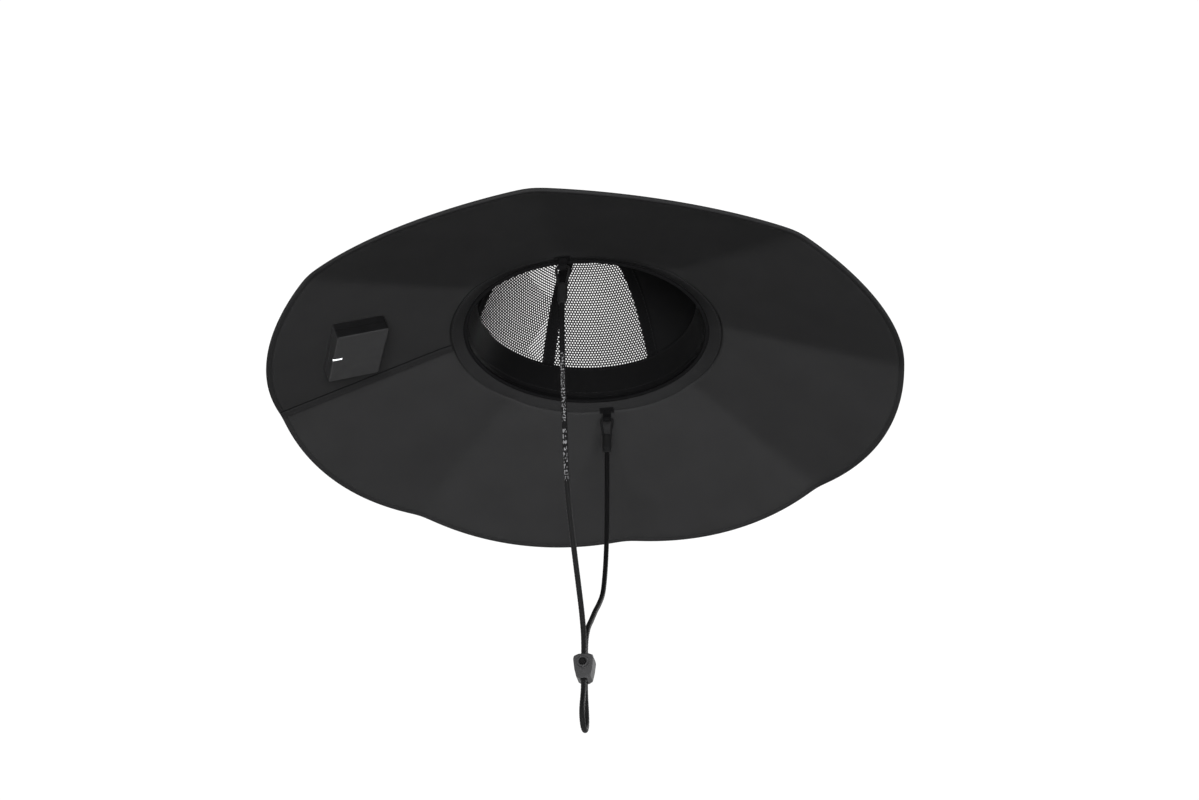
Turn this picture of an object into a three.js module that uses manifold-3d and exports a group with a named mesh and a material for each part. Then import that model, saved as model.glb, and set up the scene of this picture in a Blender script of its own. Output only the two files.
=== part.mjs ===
// A wide-brimmed bucket hat that charges from the sun: a ventilated dome crown, an eight-sided brim
// that carries flat solar panels, a control box under the brim and a chin cord with a cord lock.
// Millimetres, +Z up, front towards -Y. The origin is the centre of the head opening, in the plane
// of its edge.
import * as THREE from 'three';
import { mergeVertices } from 'three/addons/utils/BufferGeometryUtils.js';
import Module from 'manifold-3d';

const wasm = await Module();
wasm.setup();
const { degToRad, lerp, smoothstep } = THREE.MathUtils;

// Gap between neighbouring pieces.
const clearance = 0.3;

// Head opening: the band stitched round it and the sweatband inside it.
const headCircumference = 586;
const bandWidth = 10.7;
const bandWall = 2;
const bandSlope = degToRad(28);
const sweatbandHeight = 24;
const sweatbandWall = 1.2;
const sweatbandLip = 0.7;
const sweatbandStandoff = 2;

// Brim: flat facets that fall away from the opening, with soft folds between them.
const brimRadius = 237;
const brimWall = 2.4;
const brimSlope = degToRad(22.5);
const facetCount = 8;
const facetInset = 5.3;
const foldSharpness = 80;
const bindingDepth = 1.8;
const bindingProud = 0.3;
const lapWidth = 8;
const lapWall = 1;

// Crown: a squarish dome of one wide front panel and four see-through panels.
const crownHeight = 108;
const crownSquareness = 3.9;
const crownWall = 1.5;
const meshFlatness = 0.5;
const tapeWidth = 10.5;
const tapeWall = 1;
const tapeGap = 0.6;
const seamTurn = degToRad(60);
const backSeam = degToRad(90);

// Solar panels, one on each facet's upper side.
const panelWall = 1.4;
const panelFoldMargin = 9;
const panelRimMargin = 9;
const panelCrownMargin = 28;

// Control box, under the facet at the wearer's back right.
const boxFacet = 2;
const boxLength = 39;
const boxWidth = 58.5;
const boxDepth = 12.4;
const boxCorner = 2;
const boxRimMargin = 42.5;
const boxShift = -1.4;
const lightLength = 7;
const lightWidth = 1.6;
const lightDepth = 1.2;

// Chin cord, its moulded ends and the tape tabs that hold them.
const strapTurn = degToRad(-0.8);
const anchorInset = 1.5;
const tabWidth = 6.4;
const tabWall = 0.9;
const tabDrop = 8.6;
const cordDiameter = 4;
const loopWidth = 11.6;
const loopLength = 16.8;
const loopWire = 2.2;
const loopCorner = 2;
const sleeveWidth = 7.5;
const sleeveThickness = 5.9;
const sleeveLength = 17;

// Cord lock: its body hangs on both runs of the cord, and its button is pressed inwards.
const lockTop = -269.6;
const lockHeight = 18;
const lockWidth = 14.2;
const lockNeckWidth = 8.4;
const lockWall = 1.2;
const lockEdge = 1.1;
const channelSpacing = 5.8;
const collarHeight = 2.2;
const collarWall = 1.3;
const buttonDiameter = 4.6;
const buttonLength = 1.9;
const buttonProud = 1;
const buttonDrop = 6.9;

// The chin cord's route, chosen by hand: [across, up] from the wearer's right to the left.
const rightRoute = [
  [-102.3, -62], [-99, -84], [-94, -108], [-88, -132], [-82, -155], [-75, -175],
  [-62, -194], [-45, -211], [-27, -228], [-12, -243], [-4.6, -255],
];
const lowerRoute = [
  [-2.9, -264], [-2.9, -270], [-2.9, -276], [-2.9, -282], [-2.9, -288], [-3.6, -295], [-5.4, -301],
  [-7.8, -307.2], [-9, -313], [-7.8, -317.5], [-4.5, -320.8], [0, -322], [4.5, -320.8], [7.8, -317.5],
  [9, -313], [7.8, -307.2], [5.4, -301], [3.6, -295], [2.9, -288],
  [2.9, -282], [2.9, -276], [2.9, -270], [2.9, -264],
];
const leftRoute = [
  [4.8, -255], [12.5, -243], [28, -229], [46, -213], [64, -198], [80, -182], [90, -162],
  [96.5, -140], [100.2, -118], [101.8, -94], [102.3, -68],
];

// Sizes that follow from those above.
const openingRadius = headCircumference / (2 * Math.PI);
const bandRadius = openingRadius + bandWidth;
const settleRadius = openingRadius + 2 * bandWidth;
const facetTurn = 2 * Math.PI / facetCount;
const facetStart = openingRadius - facetInset;
const facetApex = facetStart * Math.tan(brimSlope);
const anchorRadius = bandRadius - anchorInset;

// Looks.
const paint = (color, roughness) => new THREE.MeshStandardMaterial({ color, roughness, metalness: 0 });
const brimCloth = paint(0x333335, 0.85);
const trimCloth = paint(0x222224, 0.8);
const sweatCloth = paint(0x1b1b1d, 0.6);
const frontCloth = paint(0x19191b, 0.85);
const meshCloth = paint(0x141416, 0.7);
const solarCells = paint(0x0c1020, 0.3);
const mouldedPlastic = paint(0x2b2b2e, 0.5);
const lockPlastic = paint(0x85868a, 0.35);
const lightPlastic = paint(0xf2f4f6, 0.4);
const cordBraid = paint(0x161618, 0.75);

const hat = new THREE.Group();
const strap = new THREE.Group();
strap.rotation.z = strapTurn;
hat.add(strap);

function add(name, geometry, material, parent = hat) {
  const mesh = new THREE.Mesh(geometry, material);
  mesh.name = name;
  parent.add(mesh);
  return mesh;
}

// Turns a body's faces round where they point inwards.
function outward(geometry) {
  const index = geometry.index.array;
  const position = geometry.getAttribute('position');
  const corner = [0, 1, 2].map(() => new THREE.Vector3());
  let volume = 0;
  for (let i = 0; i < index.length; i += 3) {
    corner.forEach((point, k) => point.fromBufferAttribute(position, index[i + k]));
    volume += corner[0].dot(corner[1].cross(corner[2]));
  }
  if (volume < 0) index.reverse();
  geometry.computeVertexNormals();
  return geometry;
}

// A closed body between two skins: point(u, v, side) gives the lower skin at side 0 and the upper
// one at side 1. Where the columns close on themselves the body is a ring.
function shell(us, vs, point, closed = false) {
  const positions = [];
  for (const side of [0, 1]) {
    for (const u of us) for (const v of vs) positions.push(...point(u, v, side));
  }
  const at = (side, i, j) => (side * us.length + (i % us.length)) * vs.length + j;
  const faces = [];
  const quad = (a, b, c, d) => faces.push(a, b, c, a, c, d);
  const lastRow = vs.length - 1;
  const spans = closed ? us.length : us.length - 1;
  for (let i = 0; i < spans; i += 1) {
    for (let j = 0; j < lastRow; j += 1) {
      quad(at(0, i, j), at(0, i, j + 1), at(0, i + 1, j + 1), at(0, i + 1, j));
      quad(at(1, i, j), at(1, i + 1, j), at(1, i + 1, j + 1), at(1, i, j + 1));
    }
    quad(at(0, i, 0), at(0, i + 1, 0), at(1, i + 1, 0), at(1, i, 0));
    quad(at(0, i, lastRow), at(1, i, lastRow), at(1, i + 1, lastRow), at(0, i + 1, lastRow));
  }
  for (let j = 0; j < lastRow && !closed; j += 1) {
    quad(at(0, 0, j), at(1, 0, j), at(1, 0, j + 1), at(0, 0, j + 1));
    quad(at(0, spans, j), at(0, spans, j + 1), at(1, spans, j + 1), at(1, spans, j));
  }
  const geometry = new THREE.BufferGeometry();
  geometry.setAttribute('position', new THREE.Float32BufferAttribute(positions, 3));
  geometry.setIndex(faces);
  return outward(geometry);
}

const steps = (count, from, to) => Array.from({ length: count + 1 }, (_, i) => lerp(from, to, i / count));
const polar = (radius, angle, z) => [radius * Math.cos(angle), radius * Math.sin(angle), z];

// Solid of a closed three.js geometry, for cuts and joins.
function solid(geometry) {
  const bare = geometry.clone();
  bare.deleteAttribute('normal');
  bare.deleteAttribute('uv');
  const merged = mergeVertices(bare);
  return new wasm.Manifold(new wasm.Mesh({
    numProp: 3,
    vertProperties: new Float32Array(merged.getAttribute('position').array),
    triVerts: new Uint32Array(merged.index.array),
  }));
}

function geometryOf(body) {
  const { vertProperties, triVerts } = body.getMesh();
  const geometry = new THREE.BufferGeometry();
  geometry.setAttribute('position', new THREE.Float32BufferAttribute(vertProperties, 3));
  geometry.setIndex(Array.from(triVerts));
  geometry.computeVertexNormals();
  return geometry;
}

// A round section's radius, measured over its corners, that clears a round piece of this radius.
const boreSides = 12;
const boreRadius = (radius) => (radius + clearance) / Math.cos(Math.PI / boreSides);

// Brim. Each facet is a plane that falls outwards. Between two facets the nearer plane takes over
// softly, so that the fold is rounded.
function foldFactor(angle) {
  const turn = angle / facetTurn - 0.5;
  const near = Math.abs(turn - Math.round(turn)) * facetTurn;
  const power = (value) => Math.cos(value) ** foldSharpness;
  return (power(near) + power(facetTurn - near)) ** (1 / foldSharpness);
}

function underside(radius, angle) {
  const cone = -Math.tan(bandSlope) * (radius - openingRadius);
  const facet = -Math.tan(brimSlope) * (radius * foldFactor(angle) - facetStart);
  return lerp(cone, facet, smoothstep(radius, openingRadius, settleRadius));
}

// Columns that lie closer together beside the folds.
const facetColumns = [-1, -0.85, -0.66, -0.33, 0, 0.33, 0.66, 0.85];
const brimColumns = [];
for (let facet = 0; facet < facetCount; facet += 1) {
  for (const share of facetColumns) brimColumns.push((facet + 0.5 + share / 2) * facetTurn);
}

function makeBrim() {
  const edge = brimRadius - bindingDepth - clearance;
  const start = bandRadius + clearance;
  const rows = [start, (start + settleRadius) / 2, settleRadius, (settleRadius + edge) / 2, edge];
  const lift = brimWall / Math.cos(brimSlope);
  return shell(brimColumns, rows, (angle, radius, side) =>
    polar(radius, angle, underside(radius, angle) + side * lift), true);
}

// The binding is thickest beside the brim and rounds off towards the rim.
const bindingSection = [
  { depth: 0, thickness: 1 }, { depth: 0.6, thickness: 0.85 }, { depth: 1, thickness: 0.4 },
];

function makeBinding() {
  const lift = brimWall / Math.cos(brimSlope) / 2;
  return shell(brimColumns, bindingSection, (angle, row, side) => {
    const radius = brimRadius - bindingDepth * (1 - row.depth);
    const half = (lift + bindingProud) * row.thickness;
    return polar(radius, angle, underside(radius, angle) + lift + (2 * side - 1) * half);
  }, true);
}

// The brim's back seam: a lap of cloth under the brim, from the fold towards the wearer's right.
function makeBackSeam() {
  const start = bandRadius + clearance;
  const end = brimRadius - bindingDepth - clearance;
  return shell([0, lapWidth], steps(8, start, end), (off, along, side) => {
    const angle = backSeam + Math.atan2(off, along);
    const radius = Math.hypot(off, along) * end / Math.hypot(lapWidth, end);
    return polar(radius, angle, underside(radius, angle) - clearance - lapWall * (1 - side));
  });
}

const bandLift = bandWall / Math.cos(bandSlope);

function makeOpeningBand() {
  return shell(brimColumns, steps(2, openingRadius, bandRadius), (angle, radius, side) =>
    polar(radius, angle, underside(radius, angle) + side * bandLift), true);
}

// Crown. The dome's inner surface rises as height * (1 - (radius / base) ** squareness).
const sweatbandFoot = bandLift + clearance;
const sweatbandOuter = openingRadius - sweatbandLip + sweatbandWall;
const footShare = (1 - sweatbandFoot / crownHeight) ** (1 / crownSquareness);
const crownRadius = (sweatbandOuter + clearance) / footShare;
const domeRadius = (z) => crownRadius * (1 - z / crownHeight) ** (1 / crownSquareness);
const crownFoot = bandLift - Math.tan(bandSlope) * (sweatbandOuter - openingRadius) + clearance;

// A mesh panel is flatter than the round dome between its two seams. The front panel is round.
const frontStart = backSeam + 2 * seamTurn;
const meshPanelCount = 4;

function flattening(angle, radius) {
  const turn = (angle - frontStart) / seamTurn;
  const sector = THREE.MathUtils.euclideanModulo(turn, 6);
  if (sector < 2) return 1;
  const local = (sector - Math.floor(sector) - 0.5) * seamTurn;
  const chord = Math.cos(seamTurn / 2) / Math.cos(local);
  const fullness = Math.sin(Math.PI * Math.min(1, radius / crownRadius));
  return 1 - meshFlatness * fullness * (1 - chord);
}

// A point of the crown at this radius and angle, moved outwards from the dome's inner surface.
function crownPoint(radius, angle, out) {
  const share = radius / crownRadius;
  const fall = crownHeight * crownSquareness / crownRadius * share ** (crownSquareness - 1);
  const length = Math.hypot(1, fall);
  const reach = radius * flattening(angle, radius) + out * fall / length;
  return polar(reach, angle, crownHeight * (1 - share ** crownSquareness) + out / length);
}

// Rows up the crown, as shares of its base radius.
const panelSpans = 6;
const crownRows = [0.955, 0.9, 0.83, 0.755, 0.67, 0.57, 0.44, 0.26, 0.012];

function makePanel(start, turn, spans) {
  const rows = [domeRadius(crownFoot) / crownRadius, ...crownRows];
  return shell(steps(spans, 0, 1), rows, (across, share, side) => {
    const radius = share * crownRadius;
    const inset = Math.asin(clearance / 2 / radius);
    return crownPoint(radius, start + lerp(inset, turn - inset, across), side * crownWall);
  });
}

// A tape runs up a seam inside the crown, through these distances from the axis.
function makeTape(seam, distances) {
  return shell([-tapeWidth / 2, 0, tapeWidth / 2], distances, (off, along, side) =>
    crownPoint(Math.hypot(along, off), seam + Math.atan2(off, along),
      -tapeGap - tapeWall * (1 - side)));
}

const tapeFoot = domeRadius(sweatbandFoot + sweatbandHeight + clearance);
const tapeEnd = (tapeWidth / 2 + clearance) / Math.tan(seamTurn / 2);
const tapeRows = crownRows.slice(1, -1).map((share) => share * crownRadius);

function makeSideTape(seam) {
  return makeTape(seam, [tapeFoot, ...tapeRows, tapeEnd]);
}

function makeTopTape(seam) {
  const rise = [tapeFoot, ...tapeRows, tapeEnd];
  return makeTape(seam, [...rise, 0, ...rise.map((distance) => -distance).reverse()]);
}

// The sweatband leans in with the crown and stands off it at its top.
function makeSweatband() {
  const top = sweatbandFoot + sweatbandHeight;
  const topRadius = domeRadius(top) - sweatbandStandoff - sweatbandWall;
  const columns = steps(6 * panelSpans, backSeam, backSeam + 6 * seamTurn).slice(1);
  return shell(columns, [0, 1], (angle, rise, side) => polar(
    lerp(sweatbandOuter - sweatbandWall, topRadius, rise) + side * sweatbandWall, angle,
    lerp(sweatbandFoot, top, rise)), true);
}

// A frame on one facet: +X runs down the slope from the facets' common apex, +Z stands off it.
function facetFrame(facet) {
  const turned = new THREE.Group();
  turned.rotation.z = (facet + 0.5) * facetTurn;
  const sloped = new THREE.Group();
  sloped.rotation.y = brimSlope;
  sloped.position.z = facetApex;
  turned.add(sloped);
  hat.add(turned);
  return sloped;
}

const extrude = (shape, depth, more = {}) => mergeVertices(
  new THREE.ExtrudeGeometry(shape, { depth, bevelEnabled: false, ...more }));

// The outline of one solar panel in its facet's frame. Its sides run beside the folds, and its
// ends are arcs round the hat's axis.
function panelOutline() {
  const half = facetTurn / 2;
  const arc = (radius, spans) => {
    const reach = half - Math.asin(panelFoldMargin / radius);
    return steps(spans, -reach, reach).map((angle) =>
      new THREE.Vector2(radius * Math.cos(angle) / Math.cos(brimSlope), radius * Math.sin(angle)));
  };
  return new THREE.Shape([
    ...arc(brimRadius - panelRimMargin, 8),
    ...arc(bandRadius + panelCrownMargin, 4).reverse(),
  ]);
}

function addSolarPanels() {
  for (let facet = 0; facet < facetCount; facet += 1) {
    const frame = facetFrame(facet);
    const panel = add(`solar_panel_${facet + 1}`, extrude(panelOutline(), panelWall), solarCells, frame);
    panel.position.z = brimWall + clearance;
  }
}

function roundedRectangle(length, width, corner) {
  const [x, y] = [length / 2 - corner, width / 2 - corner];
  const shape = new THREE.Shape();
  shape.absarc(x, y, corner, 0, Math.PI / 2);
  shape.absarc(-x, y, corner, Math.PI / 2, Math.PI);
  shape.absarc(-x, -y, corner, Math.PI, 1.5 * Math.PI);
  shape.absarc(x, -y, corner, 1.5 * Math.PI, 2 * Math.PI);
  return shape;
}

// The control box hangs under its facet, with a small light let into its outer lower edge.
function addControlBox() {
  const frame = facetFrame(boxFacet);
  const place = new THREE.Group();
  place.position.set((brimRadius - boxRimMargin) / Math.cos(brimSlope) - boxLength / 2, boxShift, 0);
  frame.add(place);
  const outline = roundedRectangle(boxLength, boxWidth, boxCorner);
  const block = extrude(outline, boxDepth, { curveSegments: 3 });
  block.translate(0, 0, -clearance - boxDepth);
  const [slotLength, slotWidth, slotDepth] = [lightLength, lightWidth, lightDepth]
    .map((size) => size + clearance);
  const slot = new THREE.BoxGeometry(2 * slotLength, slotWidth + clearance, 2 * slotDepth);
  slot.translate(boxLength / 2, 0, -clearance - boxDepth);
  add('control_box', geometryOf(solid(block).subtract(solid(slot))), mouldedPlastic, place);
  const light = new THREE.BoxGeometry(lightLength, lightWidth, lightDepth);
  light.translate(boxLength / 2 - lightLength / 2, 0, lightDepth / 2 - clearance - boxDepth);
  add('status_light', light, lightPlastic, place);
}

// The tape tab that is sewn to the opening band: a stem and an eye round the cord end's loop.
// Its outline lies in the upright plane through the axis, with x outwards.
const wireRadius = loopWire / 2;
const tabEye = boreRadius(wireRadius);
const tabOuter = tabEye + tabWall;

function makeTab() {
  const shape = new THREE.Shape();
  const stem = tabWall;
  const shoulder = Math.acos(stem / tabOuter);
  const under = (x) => -clearance / Math.cos(bandSlope) - Math.tan(bandSlope) * x;
  shape.absarc(0, -tabDrop, tabOuter, shoulder, Math.PI - shoulder, true);
  shape.lineTo(-stem, under(-stem));
  shape.lineTo(stem, under(stem));
  shape.closePath();
  const eye = new THREE.Path();
  eye.absarc(0, -tabDrop, tabEye, 0, 2 * Math.PI);
  shape.holes.push(eye);
  const geometry = extrude(shape, tabWidth, { curveSegments: boreSides });
  return geometry.translate(0, 0, -tabWidth / 2).rotateX(Math.PI / 2);
}

const tubeShape = (radius, sides) => new THREE.Shape(
  Array.from({ length: sides }, (_, i) => new THREE.Vector2(
    radius * Math.cos((i + 0.5) / sides * 2 * Math.PI), radius * Math.sin((i + 0.5) / sides * 2 * Math.PI))));

function tube(points, radius, sides, count) {
  const path = new THREE.CatmullRomCurve3(points);
  return extrude(tubeShape(radius, sides), 1, { extrudePath: path, steps: count });
}

// The moulded cord end: a teardrop loop through the tab, and the sleeve that grips the cord.
const loopTop = -tabDrop + wireRadius;
const sleeveTop = loopTop - loopLength;
const sleeveFoot = sleeveTop - sleeveLength;
const sleeveSection = [
  { width: 0, rise: 1 }, { width: 0.8, rise: 1 }, { width: 1, rise: 0.94 },
  { width: 1, rise: 0.25 }, { width: 0.72, rise: 0 }, { width: 0, rise: 0 },
];

function makeCordEnd() {
  const bend = loopWidth / 2 - wireRadius;
  const foot = sleeveWidth / 2 - wireRadius;
  const corner = steps(4, 0, Math.PI / 2).map((angle) => new THREE.Vector3(
    0, bend - loopCorner * (1 - Math.cos(angle)), -tabDrop - loopCorner * (1 - Math.sin(angle))));
  const half = [new THREE.Vector3(0, foot, sleeveTop - loopWire), ...corner];
  const mirrored = half.map(({ y, z }) => new THREE.Vector3(0, -y, z)).reverse();
  const loop = tube([...half, ...mirrored], wireRadius, 8, 24);
  const profile = sleeveSection.map(({ width, rise }) =>
    new THREE.Vector2(width * sleeveThickness / 2, lerp(sleeveFoot, sleeveTop, rise))).reverse();
  const sleeve = new THREE.LatheGeometry(profile, 16).rotateX(Math.PI / 2);
  sleeve.scale(1, sleeveWidth / sleeveThickness, 1);
  return geometryOf(solid(loop).add(solid(sleeve)));
}

function addCordEnd(side, name) {
  const place = new THREE.Group();
  place.rotation.z = side < 0 ? Math.PI : 0;
  place.position.set(side * anchorRadius, 0, underside(anchorRadius, 0));
  strap.add(place);
  add(`anchor_tab_${name}`, makeTab(), trimCloth, place);
  add(`cord_end_${name}`, makeCordEnd(), mouldedPlastic, place);
}

// The chin cord runs from one sleeve through the lock, round below it and up to the other sleeve.
function makeCord() {
  const top = underside(anchorRadius, 0) + sleeveFoot - clearance;
  const straight = top - cordDiameter;
  const ends = (side) => [[side * anchorRadius, top], [side * anchorRadius, straight]];
  const route = [...ends(-1), ...rightRoute, ...lowerRoute, ...leftRoute, ...ends(1).reverse()];
  return tube(route.map(([across, up]) => new THREE.Vector3(across, 0, up)), cordDiameter / 2, 8, 80);
}

// The lock's body seen from the front, as shares of half its width and of its height.
const lockOutline = [
  { across: 0, down: 0 }, { across: 0.94, down: 0.07 }, { across: 1, down: 0.16 },
  { across: 0.86, down: 0.6 }, { across: 0.66, down: 0.93 }, { across: 0.36, down: 1 },
];
const lockHalfDepth = channelSpacing / 2 + boreRadius(cordDiameter / 2) + lockWall;
const buttonHeight = lockTop - buttonDrop;

// A cylinder along X, from one place to another.
function barrel(radius, from, to, sides) {
  const geometry = new THREE.CylinderGeometry(radius, radius, Math.abs(to - from), sides);
  return geometry.rotateZ(Math.PI / 2).translate((from + to) / 2, 0, buttonHeight);
}

function makeLockBody() {
  const half = lockWidth / 2 - lockEdge;
  const sides = [1, -1].map((sign) => lockOutline.map(({ across, down }) => new THREE.Vector2(
    sign * Math.max(across * half, down ? 0 : lockNeckWidth / 2 - lockEdge),
    -lockEdge - down * (lockHeight - 2 * lockEdge))));
  const shape = new THREE.Shape([...sides[0], ...sides[1].reverse()].reverse());
  const depth = 2 * (lockHalfDepth - lockEdge);
  const block = extrude(shape, depth, {
    bevelEnabled: true, bevelSize: lockEdge, bevelThickness: lockEdge, bevelSegments: 2,
  });
  block.translate(0, 0, -depth / 2);
  block.applyMatrix4(new THREE.Matrix4().makeBasis(
    new THREE.Vector3(0, 1, 0), new THREE.Vector3(0, 0, 1), new THREE.Vector3(1, 0, 0)));
  block.translate(0, 0, lockTop);
  const pocket = boreRadius(buttonDiameter / 2);
  const face = -lockHalfDepth - collarHeight;
  let body = solid(block).add(solid(barrel(pocket + collarWall, face, -lockHalfDepth + lockWall / 2, 20)));
  body = body.subtract(solid(barrel(pocket, face - collarHeight, -lockHalfDepth, boreSides)));
  for (const side of [1, -1]) {
    const channel = new THREE.CylinderGeometry(
      boreRadius(cordDiameter / 2), boreRadius(cordDiameter / 2), 2 * lockHeight, boreSides);
    channel.rotateX(Math.PI / 2).translate(side * channelSpacing / 2, 0, lockTop - lockHeight / 2);
    body = body.subtract(solid(channel));
  }
  return geometryOf(body);
}

function makeButton() {
  const face = -lockHalfDepth - collarHeight - buttonProud;
  return barrel(buttonDiameter / 2, face, face + buttonLength, 16);
}

add('brim', makeBrim(), brimCloth);
add('brim_binding', makeBinding(), trimCloth);
add('back_seam', makeBackSeam(), brimCloth);
add('opening_band', makeOpeningBand(), brimCloth);
add('sweatband', makeSweatband(), sweatCloth);
add('crown_front', makePanel(frontStart, 2 * seamTurn, 2 * panelSpans), frontCloth);
for (let panel = 0; panel < meshPanelCount; panel += 1) {
  const start = frontStart + (2 + panel) * seamTurn;
  add(`crown_mesh_${panel + 1}`, makePanel(start, seamTurn, panelSpans), meshCloth);
}
add('crown_tape_top', makeTopTape(backSeam - seamTurn), trimCloth);
add('crown_tape_back', makeSideTape(backSeam), trimCloth);
add('crown_tape_right', makeSideTape(backSeam + seamTurn), trimCloth);
add('crown_tape_left', makeSideTape(backSeam - 2 * seamTurn), trimCloth);
addSolarPanels();
addControlBox();
addCordEnd(-1, 'right');
addCordEnd(1, 'left');
add('chin_cord', makeCord(), cordBraid, strap);
add('lock_body', makeLockBody(), lockPlastic, strap);
add('lock_button', makeButton(), mouldedPlastic, strap);

export default hat;
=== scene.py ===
# %% [markdown]
# # A sun hat that charges from the sun
#
# This lesson dresses a wide-brimmed hat, piece by piece. The solid model that the first cell loads
# already holds every piece at its real size and place. What is missing is all that makes a hat look
# made: woven cloth, open mesh, stitches, a braided cord, moulded plastic and solar cells.
#
# Everything is in metres, with +Z up and the front of the hat towards -Y. The origin is the middle
# of the head opening.

# %% Load the solid model
import math

import bmesh
import bpy
import numpy as np
from mathutils import Matrix, Vector


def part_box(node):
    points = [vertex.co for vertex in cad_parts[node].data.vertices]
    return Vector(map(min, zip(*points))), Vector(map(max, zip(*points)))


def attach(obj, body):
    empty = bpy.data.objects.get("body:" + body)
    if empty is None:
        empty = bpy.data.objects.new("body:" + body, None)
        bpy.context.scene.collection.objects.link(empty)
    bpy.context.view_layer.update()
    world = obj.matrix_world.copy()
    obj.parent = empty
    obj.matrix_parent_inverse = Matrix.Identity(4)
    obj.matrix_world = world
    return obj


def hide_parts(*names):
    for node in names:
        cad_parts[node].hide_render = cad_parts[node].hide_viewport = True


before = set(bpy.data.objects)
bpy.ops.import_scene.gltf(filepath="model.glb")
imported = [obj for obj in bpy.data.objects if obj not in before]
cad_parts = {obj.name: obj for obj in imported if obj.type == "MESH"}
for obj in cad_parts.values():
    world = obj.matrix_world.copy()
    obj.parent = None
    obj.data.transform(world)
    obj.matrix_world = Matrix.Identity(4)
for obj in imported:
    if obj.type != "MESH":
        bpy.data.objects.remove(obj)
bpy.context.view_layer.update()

mm = 0.001
scene = bpy.context.scene
print("nodes in the solid model:", len(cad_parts))

# %% [markdown]
# ## The camera
#
# The hat is seen from below and from the wearer's right, so the camera stands low and looks up.
# A camera in Blender looks along its own -Z. Turned 90 degrees about X it looks level along +Y, so
# a tilt is added to those 90 degrees and the turn about Z is given last.

# %% Place the camera
camera_tilt = math.radians(33.12)
camera_turn = math.radians(-81.7)
camera_data = bpy.data.cameras.new("camera")
camera_data.lens = 50
camera_data.sensor_width = 36
camera = bpy.data.objects.new("camera", camera_data)
camera.location = (-1034.7 * mm, -161.2 * mm, -743.7 * mm)
camera.rotation_euler = (math.radians(90) + camera_tilt, 0, camera_turn)
scene.collection.objects.link(camera)
scene.camera = camera
print("camera stands", round(camera.location.length, 3), "m from the head opening")

# %% [markdown]
# ## Helpers for meshes
#
# Most pieces are cloth: a sheet with two faces and a rolled edge. One helper makes them all. It
# takes a closed cross-section and sweeps it along a row of columns, as a quad mesh. A list of
# corners and faces given to `from_pydata` is the plainest way to make a mesh in Python, and quads
# in rows shade smoothly.
#
# Each corner also stores a point called `cloth`: where it lies on the flat cloth. The weave is
# drawn from it later, so the threads follow the piece instead of the room.

# %% Make a mesh piece
def linked(name, data):
    """A new object in the scene that shows this mesh or lamp."""
    piece = bpy.data.objects.new(name, data)
    scene.collection.objects.link(piece)
    return piece


def smooth(piece, sharp_angle=40):
    """Shades a piece smoothly, save at edges that turn by more than this many degrees."""
    piece.data.shade_smooth()
    piece.data.set_sharp_from_angle(angle=math.radians(sharp_angle))


def new_piece(name, points, faces, cloth=None, sharp_angle=40):
    mesh = bpy.data.meshes.new(name)
    mesh.from_pydata(np.asarray(points).tolist(), [], faces)
    if cloth is not None:
        flat = np.zeros((len(points), 3), np.float32)
        flat[:, :np.shape(cloth)[1]] = cloth
        mesh.attributes.new("cloth", "FLOAT_VECTOR", "POINT").data.foreach_set("vector", flat.ravel())
    shape = bmesh.new()
    shape.from_mesh(mesh)
    bmesh.ops.recalc_face_normals(shape, faces=shape.faces)
    shape.to_mesh(mesh)
    shape.free()
    piece = linked(name, mesh)
    smooth(piece, sharp_angle)
    return piece


# %% [markdown]
# The cross-section of a cloth sheet is a long thin loop with round ends. It is a list of
# `(along, thickness)` pairs, its lower half first and then the same points mirrored. Mirrored
# halves make the end caps easy: corner k lies opposite corner `count - 1 - k`.
#
# Each round end starts a little below the middle of the edge, so that its first corner and the
# mirrored one stay apart.

# %% Sweep a sheet of cloth
edge_first_turn = 15


def sheet_section(rows, wall, edge_steps=3):
    """rows are the places along the sheet, from one edge to the other."""
    turn = np.radians(np.linspace(edge_first_turn, 90, edge_steps))
    half, direction = wall / 2, math.copysign(1, rows[-1] - rows[0])
    rows = np.array(rows, float)
    rows[0] += direction * half
    rows[-1] -= direction * half
    first = [(rows[0] - direction * half * math.cos(a), -half * math.sin(a)) for a in turn[:-1]]
    last = [(rows[-1] + direction * half * math.cos(a), -half * math.sin(a)) for a in turn[:-1]]
    lower = first + [(row, -half) for row in rows] + last[::-1]
    return np.array(lower + [(along, -thick) for along, thick in reversed(lower)])


def ring_faces(here, ahead):
    """Quads between rings of corners and the rings ahead of them."""
    quads = np.stack([here, ahead, np.roll(ahead, -1, axis=1), np.roll(here, -1, axis=1)], -1)
    return quads.reshape(-1, 4).tolist()


def sweep(name, columns, section, place, cloth, closed=False):
    """place(u, along, thick) and cloth(u, along) take arrays and give points."""
    u = np.repeat(np.asarray(columns, float), len(section))
    along = np.tile(section[:, 0], len(columns))
    thick = np.tile(section[:, 1], len(columns))
    points = place(u, along, thick)
    size = len(section)
    corner = np.arange(len(points)).reshape(-1, size)
    if closed:
        faces = ring_faces(corner, np.roll(corner, -1, axis=0))
    else:
        faces = ring_faces(corner[:-1], corner[1:])
        for end in (corner[0], corner[-1]):
            opposite = end[::-1]
            faces += [[end[k], end[k + 1], opposite[k + 1], opposite[k]] for k in range(size // 2 - 1)]
    return new_piece(name, points, faces, cloth(u, along))


# %% [markdown]
# ## Helpers for finishes
#
# A finish is a small tree of nodes that ends in a Principled BSDF. The helper below adds a node,
# sets its plain values and links its inputs, so that each finish reads as a short list of steps.

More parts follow.
